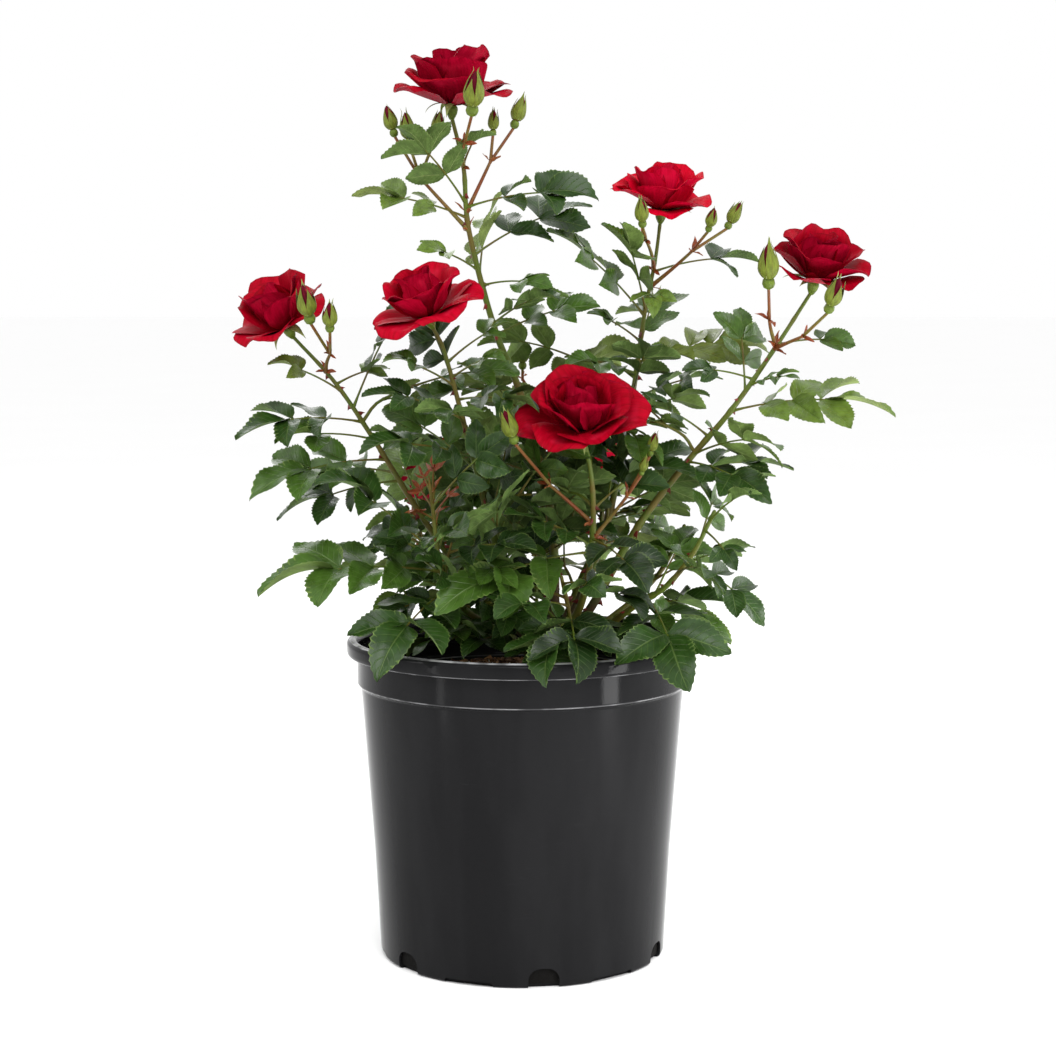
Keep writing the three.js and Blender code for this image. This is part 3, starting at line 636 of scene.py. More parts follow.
def leaf_material(name, tint, veins, roughness, vein_height, vein_share, gloss):
    """A leaf's skin, with a midrib, side veins that arch towards the point, and a pale margin."""
    nodes = Nodes(name, Specular_IOR_Level=gloss)
    square, along, crosswise = nodes.sheet_square()
    # From 0 on the midrib to 1 at either edge.
    across = nodes.math("ABSOLUTE", nodes.math("MULTIPLY_ADD", crosswise, 2.08, -1.04))
    midrib = nodes.ramp(across, 0.06, 0.015)
    arched = nodes.math("MULTIPLY_ADD", across, -VEIN_LEAN, along)
    rows = nodes.math("FRACT", nodes.math("MULTIPLY", arched, SIDE_VEINS))
    lateral = nodes.ramp(nodes.math("ABSOLUTE", nodes.math("SUBTRACT", rows, 0.5)), 0.11, 0.0)
    lateral = nodes.math("MULTIPLY", lateral, nodes.ramp(across, 1.0, 0.35, 0.05, 0.5))
    vein = nodes.math("MAXIMUM", midrib, lateral)
    cloud = nodes.noise(4.0, square, 4.0)
    shade = nodes.ramp(cloud, 0.3, 0.7, 0.74, 1.22)
    base = nodes.mix(nodes.math("MULTIPLY", vein, vein_share), tint, veins)
    base = nodes.mix(nodes.ramp(across, 0.9, 0.98, 0.0, 0.3), base, veins)
    base = nodes.mix(1.0, base, nodes.node("ShaderNodeCombineColor", {
        0: shade, 1: shade, 2: shade}).outputs[0], "MULTIPLY")
    height = nodes.math("MULTIPLY_ADD", cloud, 0.5, nodes.math("MULTIPLY", vein, vein_height))
    return nodes.finish(base, cloud, roughness, height, 0.6, 0.0006)


def petal_material(name, deep, bright, foot):
    """A petal's velvet: fine streaks and a faint pink painted sheen, darker at its foot and along
    its rim.
    """
    nodes = Nodes(name, Specular_IOR_Level=0.04)
    square, along, _ = nodes.sheet_square()
    streaks = nodes.noise(2.4, nodes.stretch(square, (1.2, 11.0, 1.0)), 4.0)
    base = nodes.mix(nodes.ramp(streaks, 0.25, 0.75), deep, bright)
    # Pink clouds: a painted sheen that stands in for the light the velvet catches.
    cloud = nodes.noise(3.0, square, 2.0)
    base = nodes.mix(nodes.ramp(cloud, 0.48, 0.72, 0.0, 0.3), base, colour(204, 36, 66))
    base = nodes.mix(nodes.ramp(along, 0.2, 0.03), base, foot)
    base = nodes.mix(nodes.ramp(along, 0.93, 0.99, 0.0, 0.45), base, foot)
    height = nodes.math("MULTIPLY_ADD", nodes.noise(16.0, square, 2.0), 0.5, streaks)
    return nodes.finish(base, streaks, (0.5, 0.62), height, 0.22, 0.0006)


def stem_material(name, fresh, ripe, roughness):
    """Green or reddish skin, blotched, with brown fibres along the stem."""
    nodes = Nodes(name, Specular_IOR_Level=0.22)
    where = nodes.place()
    blotches = nodes.noise(38.0, where, 3.0)
    fibres = nodes.noise(6.0, nodes.stretch(where, (90.0, 90.0, 12.0)), 3.0)
    base = nodes.mix(nodes.ramp(blotches, 0.38, 0.66), fresh, ripe)
    base = nodes.mix(nodes.ramp(fibres, 0.55, 0.75, 0.0, 0.35), base, colour(52, 44, 28))
    return nodes.finish(base, blotches, roughness, fibres, 0.35, 0.0005)


def bark_material():
    """Furrowed brown bark with patches of green."""
    nodes = Nodes("crown_bark")
    where = nodes.place()
    furrows = nodes.noise(4.0, nodes.stretch(where, (60.0, 60.0, 11.0)), 5.0, 0.65)
    patches = nodes.noise(55.0, where, 3.0)
    base = nodes.mix(nodes.ramp(furrows, 0.36, 0.62), colour(44, 34, 24), colour(94, 78, 56))
    base = nodes.mix(nodes.ramp(patches, 0.56, 0.7, 0.0, 0.5), base, colour(70, 76, 42))
    return nodes.finish(base, furrows, (0.95, 0.75), furrows, 0.8, 0.0015)


def pot_material():
    """Black moulded plastic, scuffed here and there, with painted highlights as thin pale lines
    along its edges.
    """
    nodes = Nodes("pot_plastic", Specular_IOR_Level=0.05)
    where = nodes.place()
    flow = nodes.noise(2.2, nodes.stretch(where, (9.0, 9.0, 2.0)), 3.0)
    scuffs = nodes.noise(30.0, nodes.stretch(where, (1.0, 1.0, 5.0)), 5.0, 0.7)
    worn = nodes.ramp(scuffs, 0.62, 0.85)
    base = nodes.mix(nodes.ramp(flow, 0.35, 0.65), colour(22, 22, 23), colour(28, 28, 29))
    base = nodes.mix(nodes.math("MULTIPLY", worn, 0.2), base, colour(58, 58, 60))
    height = nodes.height(where)
    # Painted highlights: thin pale lines along the rounded edges of the rim, lip and band, broken
    # up by noise.
    highlight_breaks = nodes.ramp(nodes.noise(45.0, where, 2.0), 0.4, 0.6, 0.25, 1.0)
    for edge, highlight_strength in EDGE_HIGHLIGHTS:
        reach = nodes.math("ABSOLUTE", nodes.math("SUBTRACT", height, edge * MM))
        share = nodes.math("MULTIPLY", nodes.ramp(reach, 0.0007, 0.0002, 0.0, highlight_strength), highlight_breaks)
        base = nodes.mix(share, base, colour(176, 176, 178))
    rough = nodes.math("MULTIPLY_ADD", worn, 0.14, nodes.ramp(flow, 0.3, 0.7, 0.07, 0.11))
    grain = nodes.noise(520.0, where, 2.0)
    nodes.to_shader(Base_Color=base, Roughness=rough, Normal=nodes.bump(
        nodes.math("MULTIPLY_ADD", flow, 3.0, grain), 0.08, 0.0005))
    return nodes.material


def mix_material(name, dark, light):
    """Crumbs of the potting mix, with painted shade that turns them nearly black low in the pot."""
    nodes = Nodes(name, Specular_IOR_Level=0.1)
    where = nodes.place()
    crumbs = nodes.noise(260.0, where, 4.0, 0.7)
    base = nodes.mix(nodes.ramp(crumbs, 0.38, 0.64), dark, light)
    # Painted shade: below 0.2 m the mix turns nearly black, where it lies in shadow behind the
    # pot's openings.
    base = nodes.mix(nodes.ramp(nodes.height(where), 0.2, 0.16), base, colour(12, 11, 10))
    return nodes.finish(base, crumbs, (0.95, 0.8), crumbs, 0.7, 0.001)


# Upper and under side of each tint that a leaf may have.
LEAF_TINTS = {
    "deep": (colour(21, 41, 11), colour(70, 92, 44)),
    "dark": (colour(34, 59, 16), colour(80, 102, 50)),
    "mid": (colour(58, 86, 27), colour(98, 120, 59)),
    "light": (colour(88, 111, 42), colour(120, 137, 74)),
    "olive": (colour(88, 103, 36), colour(110, 124, 64)),
    "young": (colour(132, 60, 32), colour(142, 80, 46)),
}
TINT_NAMES = list(LEAF_TINTS)
# The share of chance at which each tint ends, from the shady heart of the shrub outwards.
TINT_ENDS = (0.16, 0.56, 0.86, 0.97, 1.0)
leaf_materials = []
for tint_name, (tint_above, tint_below) in LEAF_TINTS.items():
    leaf_materials += [
        leaf_material(f"leaf_{tint_name}_upper", tint_above, colour(112, 134, 72),
                      (0.27, 0.38), -1.0, 0.3, 0.27),
        leaf_material(f"leaf_{tint_name}_under", tint_below, colour(146, 160, 100),
                      (0.6, 0.7), 1.0, 0.34, 0.12),
    ]

stem_materials = [
    stem_material("cane_green", colour(78, 94, 28), colour(92, 80, 32), (0.42, 0.55)),
    stem_material("cane_old", colour(60, 62, 28), colour(72, 54, 34), (0.6, 0.75)),
    stem_material("shoot_red", colour(112, 60, 32), colour(102, 94, 40), (0.4, 0.52)),
    stem_material("prickle", colour(110, 36, 28), colour(78, 32, 24), (0.4, 0.5)),
]
GREEN, OLD, RED, PRICKLE = range(4)

# Inner and outer side of each tint that a bloom may have, and a bud: deep, bright and foot colours.
PETAL_TINTS = {
    "deep_inner": ((128, 0, 16), (162, 1, 29), (78, 0, 12)),
    "deep_outer": ((130, 1, 26), (164, 4, 41), (88, 7, 18)),
    "mid_inner": ((166, 0, 24), (200, 2, 40), (104, 0, 14)),
    "mid_outer": ((168, 2, 34), (200, 8, 54), (116, 12, 22)),
    "warm_inner": ((140, 0, 19), (174, 1, 33), (88, 0, 13)),
    "warm_outer": ((142, 1, 29), (176, 5, 45), (98, 9, 20)),
    "bud": ((62, 8, 20), (90, 14, 30), (48, 6, 14)),
}
petal_materials = [petal_material(f"petal_{name}", *(colour(*values) for values in tints))
                   for name, tints in PETAL_TINTS.items()]
BUD_RED = list(PETAL_TINTS).index("bud")

calyx_materials = [
    leaf_material("sepal_outer", colour(98, 110, 34), colour(104, 72, 36),
                  (0.5, 0.6), 0.4, 0.4, 0.2),
    leaf_material("sepal_inner", colour(126, 138, 78), colour(150, 158, 104),
                  (0.7, 0.8), 0.4, 0.3, 0.2),
    leaf_material("hip_skin", colour(86, 104, 32), colour(98, 82, 36), (0.4, 0.5), 0.1, 0.3, 0.2),
    leaf_material("anther", colour(158, 116, 40), colour(112, 70, 24), (0.6, 0.7), 0.1, 0.3, 0.35),
]
SEPAL, SEPAL_INSIDE, HIP, ANTHER = range(4)


# Canes -------------------------------------------------------------------------------------------

CANE_SPACING = 5
CANE_SIDES = 12
OLD_WOOD = 0.16
# How much a cane swells at its nodes and at its foot, and how far each swelling reaches.
NODE_SPACING = 29
NODE_SWELLING, NODE_REACH = 0.16, 2.4
FOOT_SWELLING, FOOT_REACH = 0.5, 14

PRICKLE_SPACING = 17
PRICKLE_SIZES = (3.8, 6.4)
FIRST_PRICKLE = (30, 45)
LAST_PRICKLE = 0.88
PRICKLE_SIDES = 6

chance = random_from(4242)
canes = Sheaf()


def pick(low, high):
    return between((low, high), chance())


def add_prickle(spot, along, outward, size):
    """A flattened thorn that leans back towards the foot of its cane."""
    across = np.cross(along, outward)
    turns = np.linspace(0, 2 * np.pi, PRICKLE_SIDES, endpoint=False)[:, None]
    ring = np.cos(turns) * along * 0.55 + np.sin(turns) * across * 0.24
    middle = spot + size * (ring * 0.45 + outward * 0.5 - along * 0.1)
    corners = np.concatenate([spot + size * ring, middle, [spot + size * (outward - along * 0.45)]])
    numbers = np.arange(2 * PRICKLE_SIDES).reshape(2, -1)
    canes.add(corners, ring_quads(numbers), cap(2 * PRICKLE_SIDES, numbers[1]), slots=PRICKLE)


def add_cane(cane, curve):
    """The whole cane, swollen at its nodes and flared where it leaves the crown."""
    count = int(curve.length / CANE_SPACING)
    distances = np.linspace(0, curve.length, count + 1)
    spots = np.array([curve.at(share) for share in distances / curve.length])
    nodes = np.abs((distances + NODE_SPACING / 2) % NODE_SPACING - NODE_SPACING / 2)
    radii = between(cane.radii, distances / curve.length)
    radii = radii * (1 + NODE_SWELLING * np.exp(-(nodes / NODE_REACH) ** 2)
                     + FOOT_SWELLING * np.exp(-distances / FOOT_REACH))
    old = int(count * OLD_WOOD)
    add_tube(canes, spots[:old + 1], radii[:old + 1], CANE_SIDES, OLD)
    add_tube(canes, spots[old:], radii[old:], CANE_SIDES, GREEN)
    overall = curve.at(1) - curve.at(0)
    distance = pick(*FIRST_PRICKLE)
    turn = pick(0, 6)
    while distance < curve.length * LAST_PRICKLE:
        share = distance / curve.length
        along = curve.tangent(share)
        across, outward = cross_axes(along, overall)
        sideways = across * math.cos(turn) + outward * math.sin(turn)
        radius = between(cane.radii, share)
        add_prickle(curve.at(share) + sideways * radius * 0.8, along, sideways,
                    pick(*PRICKLE_SIZES) * (1.15 - 0.4 * share))
        distance += pick(0.5, 1.5) * PRICKLE_SPACING
        turn += pick(1.2, 3.4)


# Leaves ------------------------------------------------------------------------------------------

# A leaflet's upper face is a grid: rows from its foot to its point, whose outer corners make the
# teeth of its edge, and columns from one edge over the midrib to the other.
TEETH = 12
ROWS = np.linspace(0, 1, 2 * TEETH + 3)
COLUMNS = np.array([-1, -0.52, 0, 0.52, 1])
WIDTHS = np.interp(ROWS, [0, 0.04, 0.08, 0.16, 0.28, 0.42, 0.58, 0.72, 0.85, 0.94, 1],
                   [0.04, 0.09, 0.46, 0.78, 0.97, 1.04, 1.0, 0.83, 0.53, 0.24, 0.02])
TOOTH_ROWS = np.arange(len(ROWS)) % 2 == 1
TOOTH_ROWS[:3] = False
NOTCHES = np.where(TOOTH_ROWS, 1.04, 0.96)
NOTCHES[:3] = 1
TOOTH_LEAN = np.where(TOOTH_ROWS, 0.02, 0)
LEAFLET_LAYOUT = grid_layout(ROWS, COLUMNS)
LEAF_THICKNESS = 0.35
# How leaflets differ by chance: rolled and twisted about the midrib, broad or narrow, folded along
# the midrib, drooping at the point and arched between. Then how high their edges ripple and wave.
LEAFLET_ROLLS = (-0.45, 0.45)
LEAFLET_TWISTS = (-0.5, 0.5)
LEAFLET_BREADTHS = (0.78, 1.0)
LEAFLET_FOLDS = (0.12, 0.62)
LEAFLET_DROOPS = (-0.02, 0.2)
LEAFLET_ARCHES = (0, 0.08)
RIPPLE_HEIGHT = 0.02
WAVE_HEIGHT = 0.025

YOUNG_WIDTH = 0.55
YOUNG_LEAVES = 7
YOUNG_LENGTHS = (24, 38)
BRACTS = 3
BRACT_LENGTHS = (7, 13)
# The middle of the shrub's deep shade, and how far it reaches each way.
SHADY_HEART = np.array([50, -95, 310])
SHADY_REACH = np.array([185, 170, 240])
# How far a tint goes by chance and how far by light, and where the light begins and stops to count.
TINT_BY_CHANCE = 0.62
TINT_BY_LIGHT = 0.44
LIGHT_START = 0.4
LIGHT_SPAN = 0.86


def swell(low, high):
    """A wave along a leaflet's rows, with a chance rate and start."""
    return np.sin(2 * np.pi * (pick(low, high) * ROWS + chance()))[:, None]


def add_leaflet(sheaf, midrib, across, above, length, tint):
    """A toothed leaflet: folded along its midrib, rolled about it and drooping at its point."""
    along = np.gradient(midrib, axis=0)
    along /= np.linalg.norm(along, axis=1, keepdims=True)
    roll = pick(*LEAFLET_ROLLS) + pick(*LEAFLET_TWISTS) * ROWS[:, None]
    across, above = (across * np.cos(roll) + above * np.sin(roll),
                     above * np.cos(roll) - across * np.sin(roll))
    edge = np.abs(COLUMNS) == 1
    half = LEAFLET_WIDTH * length / 2 * pick(*LEAFLET_BREADTHS)
    half = half * (YOUNG_WIDTH if tint == "young" else 1)
    widths = WIDTHS[:, None] * np.where(edge, NOTCHES[:, None], 1) * half
    ripple = swell(1.3, 2.2) * COLUMNS ** 2
    wave = swell(0.8, 1.8) * COLUMNS
    lift = np.abs(COLUMNS) * widths * pick(*LEAFLET_FOLDS)
    droop = pick(*LEAFLET_DROOPS) * ROWS[:, None] ** 2
    droop = droop - pick(*LEAFLET_ARCHES) * np.sin(np.pi * ROWS)[:, None]
    lift = lift + length * (RIPPLE_HEIGHT * ripple + WAVE_HEIGHT * wave - droop)
    forward = np.where(edge, TOOTH_LEAN[:, None], 0) * length
    surface = midrib[:, None] + across[:, None] * (COLUMNS * widths)[..., None]
    surface = surface + above[:, None] * lift[..., None] + along[:, None] * forward[..., None]
    slot = 2 * TINT_NAMES.index(tint)
    add_blade(sheaf, surface, LEAF_THICKNESS, (slot, slot + 1), LEAFLET_LAYOUT)


class Leaf:
    """A compound leaf: pairs of leaflets along an arched stalk, and one at its end."""

    def __init__(self, base, tip, facing, pairs):
        self.base, self.tip, self.facing, self.pairs = base, tip, facing, pairs
        self.length = np.linalg.norm(tip - base)
        self.bend = (base + tip) / 2 + UP * LEAF_ARCH * self.length

    def spot(self, share):
        rest = 1 - share
        return rest ** 2 * self.base + 2 * share * rest * self.bend + share ** 2 * self.tip

    def axes(self, share):
        along = unit((self.bend - self.base) * (1 - share) + (self.tip - self.bend) * share)
        side = unit(np.cross(along, self.facing))
        return along, side, np.cross(side, along)

    def side_leaflets(self):
        """Each one's foot, direction, crosswise direction, upward direction and length."""
        found = []
        for pair in range(self.pairs):
            share = PAIR_START - PAIR_SPREAD * pair / self.pairs
            along, side, above = self.axes(share)
            cos, sin = math.cos(PAIR_ANGLE), math.sin(PAIR_ANGLE)
            for hand in (1, -1):
                outward = along * cos + side * hand * sin
                crosswise = side * cos - along * hand * sin
                found.append((self.spot(share), outward, crosswise, above,
                              LEAFLET_LENGTHS[pair] * self.length))
        return found

    def is_in(self, corners):
        """Whether a solid's corners hold this leaf's."""
        tips = [foot + outward * size for foot, outward, _, _, size in self.side_leaflets()]
        held = [corners.find(tip)[2] < LEAF_MATCH for tip in tips]
        return sum(held) * 2 >= len(held)

    def outline(self):
        """A few triangles that stand for the leaflets, as a tree that tests what they cross."""
        corners = []
        for foot, outward, crosswise, _, size in self.side_leaflets():
            middle = foot + outward * size * 0.45
            half = crosswise * LEAFLET_WIDTH * size / 2
            corners += [foot, middle + half, foot + outward * size, middle - half]
        foot = self.spot(TERMINAL_START)
        size = np.linalg.norm(self.tip - foot)
        middle = self.spot(TERMINAL_START + 0.45 * (1 - TERMINAL_START))
        half = self.axes(0.8)[1] * LEAFLET_WIDTH * size / 2
        corners = np.array(corners + [foot, middle + half, self.tip, middle - half])
        faces = [tuple(range(i, i + 4)) for i in range(0, len(corners), 4)]
        tree = BVHTree.FromPolygons([Vector(corner) for corner in corners], faces)
        return tree, corners.min(0), corners.max(0)

    def add_to(self, sheaf, tint, stalk=GREEN):
        shares = np.linspace(0, TERMINAL_START + 0.02, 8)
        radii = between(STALK_RADII, shares) * (1 + 0.8 * np.exp(-shares * 22))
        add_tube(canes, [self.spot(share) for share in shares], radii, 5, stalk)
        for foot, outward, crosswise, above, size in self.side_leaflets():
            add_leaflet(sheaf, foot + ROWS[:, None] * outward * size, crosswise, above, size, tint)
        shares = between((TERMINAL_START, 1), ROWS)
        midrib = np.array([self.spot(share) for share in shares])
        _, sides, ups = (np.array(axis) for axis in zip(*(self.axes(share) for share in shares)))
        add_leaflet(sheaf, midrib, sides, ups, np.linalg.norm(self.tip - midrib[0]), tint)


def leaf_rule(cane, curve):
    """The rule that deals leaves round a cane: each call gives the next try at leaf number `i`."""
    random = random_from(cane.seed)
    phase = random() * 2 * math.pi
    overall = curve.at(1) - curve.at(0)
    stem = (cane.ends[0] + STEM_MARGINS[0], cane.ends[1] - STEM_MARGINS[1])

    def next_try(i):
        share = between(stem, (i + between(LEAF_STEPS, random())) / cane.leaves)
        base, tangent = curve.at(share), curve.tangent(share)
        turn = phase + GOLDEN_TURN * i + between(LEAF_TURNS, random())
        rise = math.radians(between(LEAF_RISES, random()))
        length = LEAF_LENGTH * cane.leaf_size * between(LEAF_SIZES, random())
        rolls = np.array([between(LEAF_ROLLS, random()), between(LEAF_ROLLS, random()), 0])
        return leaf_towards(base, tangent, overall, turn, rise, length, rolls)

    return next_try


def leaf_towards(base, tangent, overall, turn, rise, length, rolls, pairs=LEAF_PAIRS):
    """A leaf that leaves its stem at a turn round it, and rises towards the stem's direction."""
    across, outward = cross_axes(tangent, overall)
    reach = (across * math.cos(turn) + outward * math.sin(turn)) * math.cos(rise)
    reach = reach + tangent * math.sin(rise)
    reach[2] = max(reach[2], STEEPEST_FALL)
    tip = base + reach * length
    facing = np.array([tip[0] - CROWN_CENTRE[0], tip[1] - CROWN_CENTRE[1], 0])
    facing = unit(facing) * LEAF_LEAN + UP + rolls
    return Leaf(base, tip, facing, pairs)


def add_young_tip(sheaf, curve):
    """The soft red leaves that open round a growing tip, still narrow and folded."""
    tip, along = curve.at(1), curve.tangent(1)
    overall = curve.at(1) - curve.at(0)
    for i in range(YOUNG_LEAVES):
        base = tip - along * 4 * (YOUNG_LEAVES - i)
        leaf = leaf_towards(base, along, overall, i * GOLDEN_TURN + pick(-0.3, 0.3),
                            math.radians(20 + 9 * i), pick(*YOUNG_LENGTHS), UP * 0, pairs=1)
        leaf.add_to(sheaf, "young", RED)
    add_tube(canes, [tip - along * 2, tip + along * 6, tip + along * 11], [1.3, 0.9, 0.4], 7, RED)


def add_bracts(sheaf, fork, along):
    """Small reddish bracts round the fork of a shoot."""
    axes = turned_to(along)
    for i in range(BRACTS):
        turn = i * GOLDEN_TURN + pick(-0.4, 0.4)
        outward = unit(axes[0] * math.cos(turn) + axes[1] * math.sin(turn) + along * pick(0.4, 1.2))
        side = unit(np.cross(outward, along))
        length = pick(*BRACT_LENGTHS)
        add_leaflet(sheaf, fork + ROWS[:, None] * outward * length, side, np.cross(side, outward),
                    length, "young")


def tint_for(leaf):
    """A tint dealt by chance, lighter towards the outside of the shrub."""
    reach = np.linalg.norm((leaf.tip - SHADY_HEART) / SHADY_REACH)
    light = min(max(reach - LIGHT_START, 0), LIGHT_SPAN)
    share = TINT_BY_CHANCE * chance() + TINT_BY_LIGHT * light
    return next(tint for tint, end in zip(TINT_NAMES, TINT_ENDS) if share < end)


# Buds and blooms ---------------------------------------------------------------------------------

# Half a sepal's width at shares of its length, and how thick it is.
SEPAL_WIDTHS = ([0, 0.25, 0.5, 0.75, 0.88, 1], [0.7, 1, 0.8, 0.34, 0.14, 0.03])
SEPAL_THICKNESS = 0.4
SEPALS = 5

petals = Sheaf(has_layout=True)
calyxes = Sheaf(has_layout=True)


def add_turned(sheaf, profile, segments, foot, axes, slot):
    """A turned form of (radius, height) rows on its foot, with its axis the last of the axes."""
    profile = np.array(profile, float)
    turns = np.linspace(0, 2 * np.pi, segments + 1)
    local = np.stack([profile[:, :1] * np.cos(turns), profile[:, :1] * np.sin(turns),
                      np.broadcast_to(profile[:, 1:], (len(profile), segments + 1))], -1)
    heights = np.linspace(0, 1, len(profile))[:, None]
    layout = np.stack(np.broadcast_arrays(heights, turns / (2 * np.pi)), -1).reshape(-1, 2)
    corners = foot + local.reshape(-1, 3) @ axes
    sheaf.add(corners, grid_faces(len(profile), segments + 1), slots=slot, layout=layout)


def add_sepal(foot, axes, turn, radii, heights, half_width):
    """A narrow pointed blade along a line of (radius, height) round a bud's or hip's axis."""
    rows = np.linspace(0, 1, len(radii))
    columns = np.linspace(-1, 1, 5)
    widths = half_width * np.interp(rows, *SEPAL_WIDTHS)
    sideways = columns * widths[:, None]
    radial = radii[:, None] * np.cos(sideways / np.maximum(radii, 2.5)[:, None])
    local = np.stack([radial, sideways, np.broadcast_to(heights[:, None], sideways.shape)], -1)
    add_blade(calyxes, foot + local @ turning(turn) @ axes, SEPAL_THICKNESS,
              (SEPAL, SEPAL_INSIDE), grid_layout(rows, columns))


# A bud's petals and its hip, from foot to point: shares of its length as (radius, height).
BUD_PETALS = np.array([(0.02, 0.2), (0.1, 0.26), (0.18, 0.36), (0.205, 0.47), (0.19, 0.6),
                       (0.15, 0.73), (0.095, 0.86), (0.045, 0.95), (0.01, 1.0)])
BUD_HIP = np.array([(0.05, 0), (0.11, 0.04), (0.14, 0.12), (0.125, 0.2), (0.085, 0.25),
                    (0.11, 0.28)])


def add_bud(foot, direction, length):
    """A pointed bud wrapped in its sepals, on a round hip with a waist above it."""
    axes = turned_to(direction)
    add_turned(petals, BUD_PETALS * length, 12, foot, axes, BUD_RED)
    add_turned(calyxes, BUD_HIP * length, 12, foot, axes, HIP)
    spread = pick(0, 0.3)
    phase = pick(0, 6)
    for sepal in range(SEPALS):
        reach = pick(0.88, 1.16)
        heights = np.linspace(0.26, reach, 11)
        radii = np.interp(heights, BUD_PETALS[:, 1], BUD_PETALS[:, 0]) + 0.022
        radii = radii + spread * pick(0.4, 1.6) * np.linspace(0, 1, 11) ** 3 * 0.45
        add_sepal(foot, axes, phase + sepal * 2 * math.pi / SEPALS, radii * length,
                  heights * length, 0.145 * length)


def add_shoot(start, fork, buds):
    """A reddish shoot from a cane, and the buds on their stalks, which bend halfway to upright."""
    shares = np.linspace(0, 1, 9)[:, None]
    sag = 4 * shares * (1 - shares) * unit(np.cross(fork - start, UP)) * pick(-2, 2)
    add_tube(canes, start + (fork - start) * shares + sag,
             between(SHOOT_RADII, shares[:, 0]) * (1 + 0.3 * np.exp(-shares[:, 0] * 8)), 8, RED)
    for *place, length in buds:
        foot = np.array(place, float)
        along = unit(foot - fork)
        direction = unit((along + UP) / 2)
        neck = foot + direction * 0.12 * length
        stalk = [fork - along * SHOOT_RADII[1], (fork + foot) / 2 + along * 0.5, foot, neck]
        add_tube(canes, stalk, between(PEDICEL_RADII, np.linspace(0, 1, 4)), 7, RED)
        add_bud(foot, direction, length)


PETAL_ROWS = np.linspace(0, 1, 15)[:, None]
PETAL_COLUMNS = np.linspace(-1, 1, 13)[None]
PETAL_THICKNESS = 0.3
PETAL_LAYOUT = grid_layout(PETAL_ROWS[:, 0], PETAL_COLUMNS[0])
# Half a petal's width at shares of its length.
PETAL_WIDTHS = ([0, 0.12, 0.4, 0.7, 1], [0.18, 0.42, 0.9, 1.06, 0.86])
# Steps along a petal in which its lean is added up to its reach and height.
LEAN_STEPS = 40
LEAN_SHARES = (0, 0.3, 0.72, 1)
# How far a petal's lean differs by chance, at each of those shares, in degrees.
LEAN_SLACKS = (4, 8, 14, 26)
PETAL_ROLLS = (-0.02, 0.26)
PETAL_WAVE = 0.034
PETAL_CREASE = 0.02
RIM_WAVE = 0.012
HEART_RADIUS = 1.4
# The rings of petals from the heart outwards: how many, how far each leans from the bloom's axis
# (in degrees, at its foot, lower part, upper part and rim), then its length, half its width and
# the radius it is cupped by, as shares of the bloom's radius.
PETAL_RINGS = [
    (4, (12, 6, -14, -34), 0.7, 0.34, 0.22),
    (5, (38, 12, -4, 10), 0.94, 0.5, 0.48),
    (5, (54, 30, 22, 58), 1.04, 0.58, 0.74),
    (6, (66, 60, 64, 98), 1.06, 0.58, 0.95),
]

STAMENS = 26
STAMEN_LEANS = (0.05, 0.5)
STAMEN_LENGTHS = (0.2, 0.3)
# Turned forms in millimetres, as (radius, height): a stamen's anther, and the hip below a bloom.
ANTHER_PROFILE = [(0.1, -0.8), (0.8, -0.2), (0.7, 0.5), (0.1, 0.9)]
HIP_PROFILE = [(1.7, 0), (2.7, 1.6), (4.1, 4.6), (4.7, 8), (4.1, 10.2), (2.6, 11.4)]
# The radius and height at which a bloom's sepals leave its hip, their lengths and half their width.
HIP_SHOULDER = (3.6, 11.2)
SEPAL_LENGTHS = (20, 27)
SEPAL_HALF_WIDTH = 3.4
SEPAL_STEPS = 9


def added_up(steps):
    """The sum of a petal's steps up to each, by their means."""
    return np.concatenate([[0], np.cumsum(steps[1:] + steps[:-1]) / (2 * LEAN_STEPS)])


def add_petal(centre, axes, radius, ring, turn, openness, tint):
    """One petal: a cupped blade with an uneven rim and edges that roll back."""
    _, leans, length, half, cup = ring
    slack = np.array([pick(-limit, limit) for limit in LEAN_SLACKS])
    leans = np.array(leans) * between((0.78, 1.12), openness) + pick(-13, 13) + slack
    length = radius * length * pick(0.9, 1.06)
    half = radius * half * pick(0.88, 1.1)
    cup = radius * cup * pick(0.85, 1.2)
    fine = np.linspace(0, 1, LEAN_STEPS + 1)
    lean = np.interp(fine, LEAN_SHARES, np.radians(leans))
    reaches = added_up(np.sin(lean)) * length
    heights = added_up(np.cos(lean)) * length
    skew = PETAL_COLUMNS * pick(-0.05, 0.05)
    rim = 1 - pick(0.2, 0.34) * np.abs(PETAL_COLUMNS) ** pick(1.9, 2.8) + skew
    rim = rim + RIM_WAVE * np.sin(np.pi * (PETAL_COLUMNS * pick(1.8, 3.4) + 2 * chance()))
    share = PETAL_ROWS * np.minimum(rim, 1)
    lean, reach, height = (np.interp(share, fine, values) for values in (lean, reaches, heights))
    sideways = PETAL_COLUMNS * half * np.interp(share, *PETAL_WIDTHS)
    sweep = np.clip(sideways / cup, -2, 2)
    edge = np.clip((np.abs(PETAL_COLUMNS) - 0.55) / 0.45, 0, 1) ** 2
    rolls = np.where(PETAL_COLUMNS > 0, pick(*PETAL_ROLLS), pick(*PETAL_ROLLS))
    waves = np.sin(np.pi * (PETAL_COLUMNS * pick(1.2, 2.4) + 2 * chance())) * share ** 2
    crease = np.exp(-(PETAL_COLUMNS * 6) ** 2) * share
    push = radius * (edge * share ** 1.5 * rolls + waves * PETAL_WAVE + crease * PETAL_CREASE)
    push = push - cup * (1 - np.cos(sweep))
    local = np.stack([HEART_RADIUS + reach + push * np.cos(lean), cup * np.sin(sweep),
                      height - push * np.sin(lean)], -1)
    add_blade(petals, centre + local @ turning(turn) @ axes, PETAL_THICKNESS,
              (2 * tint + 1, 2 * tint), PETAL_LAYOUT)


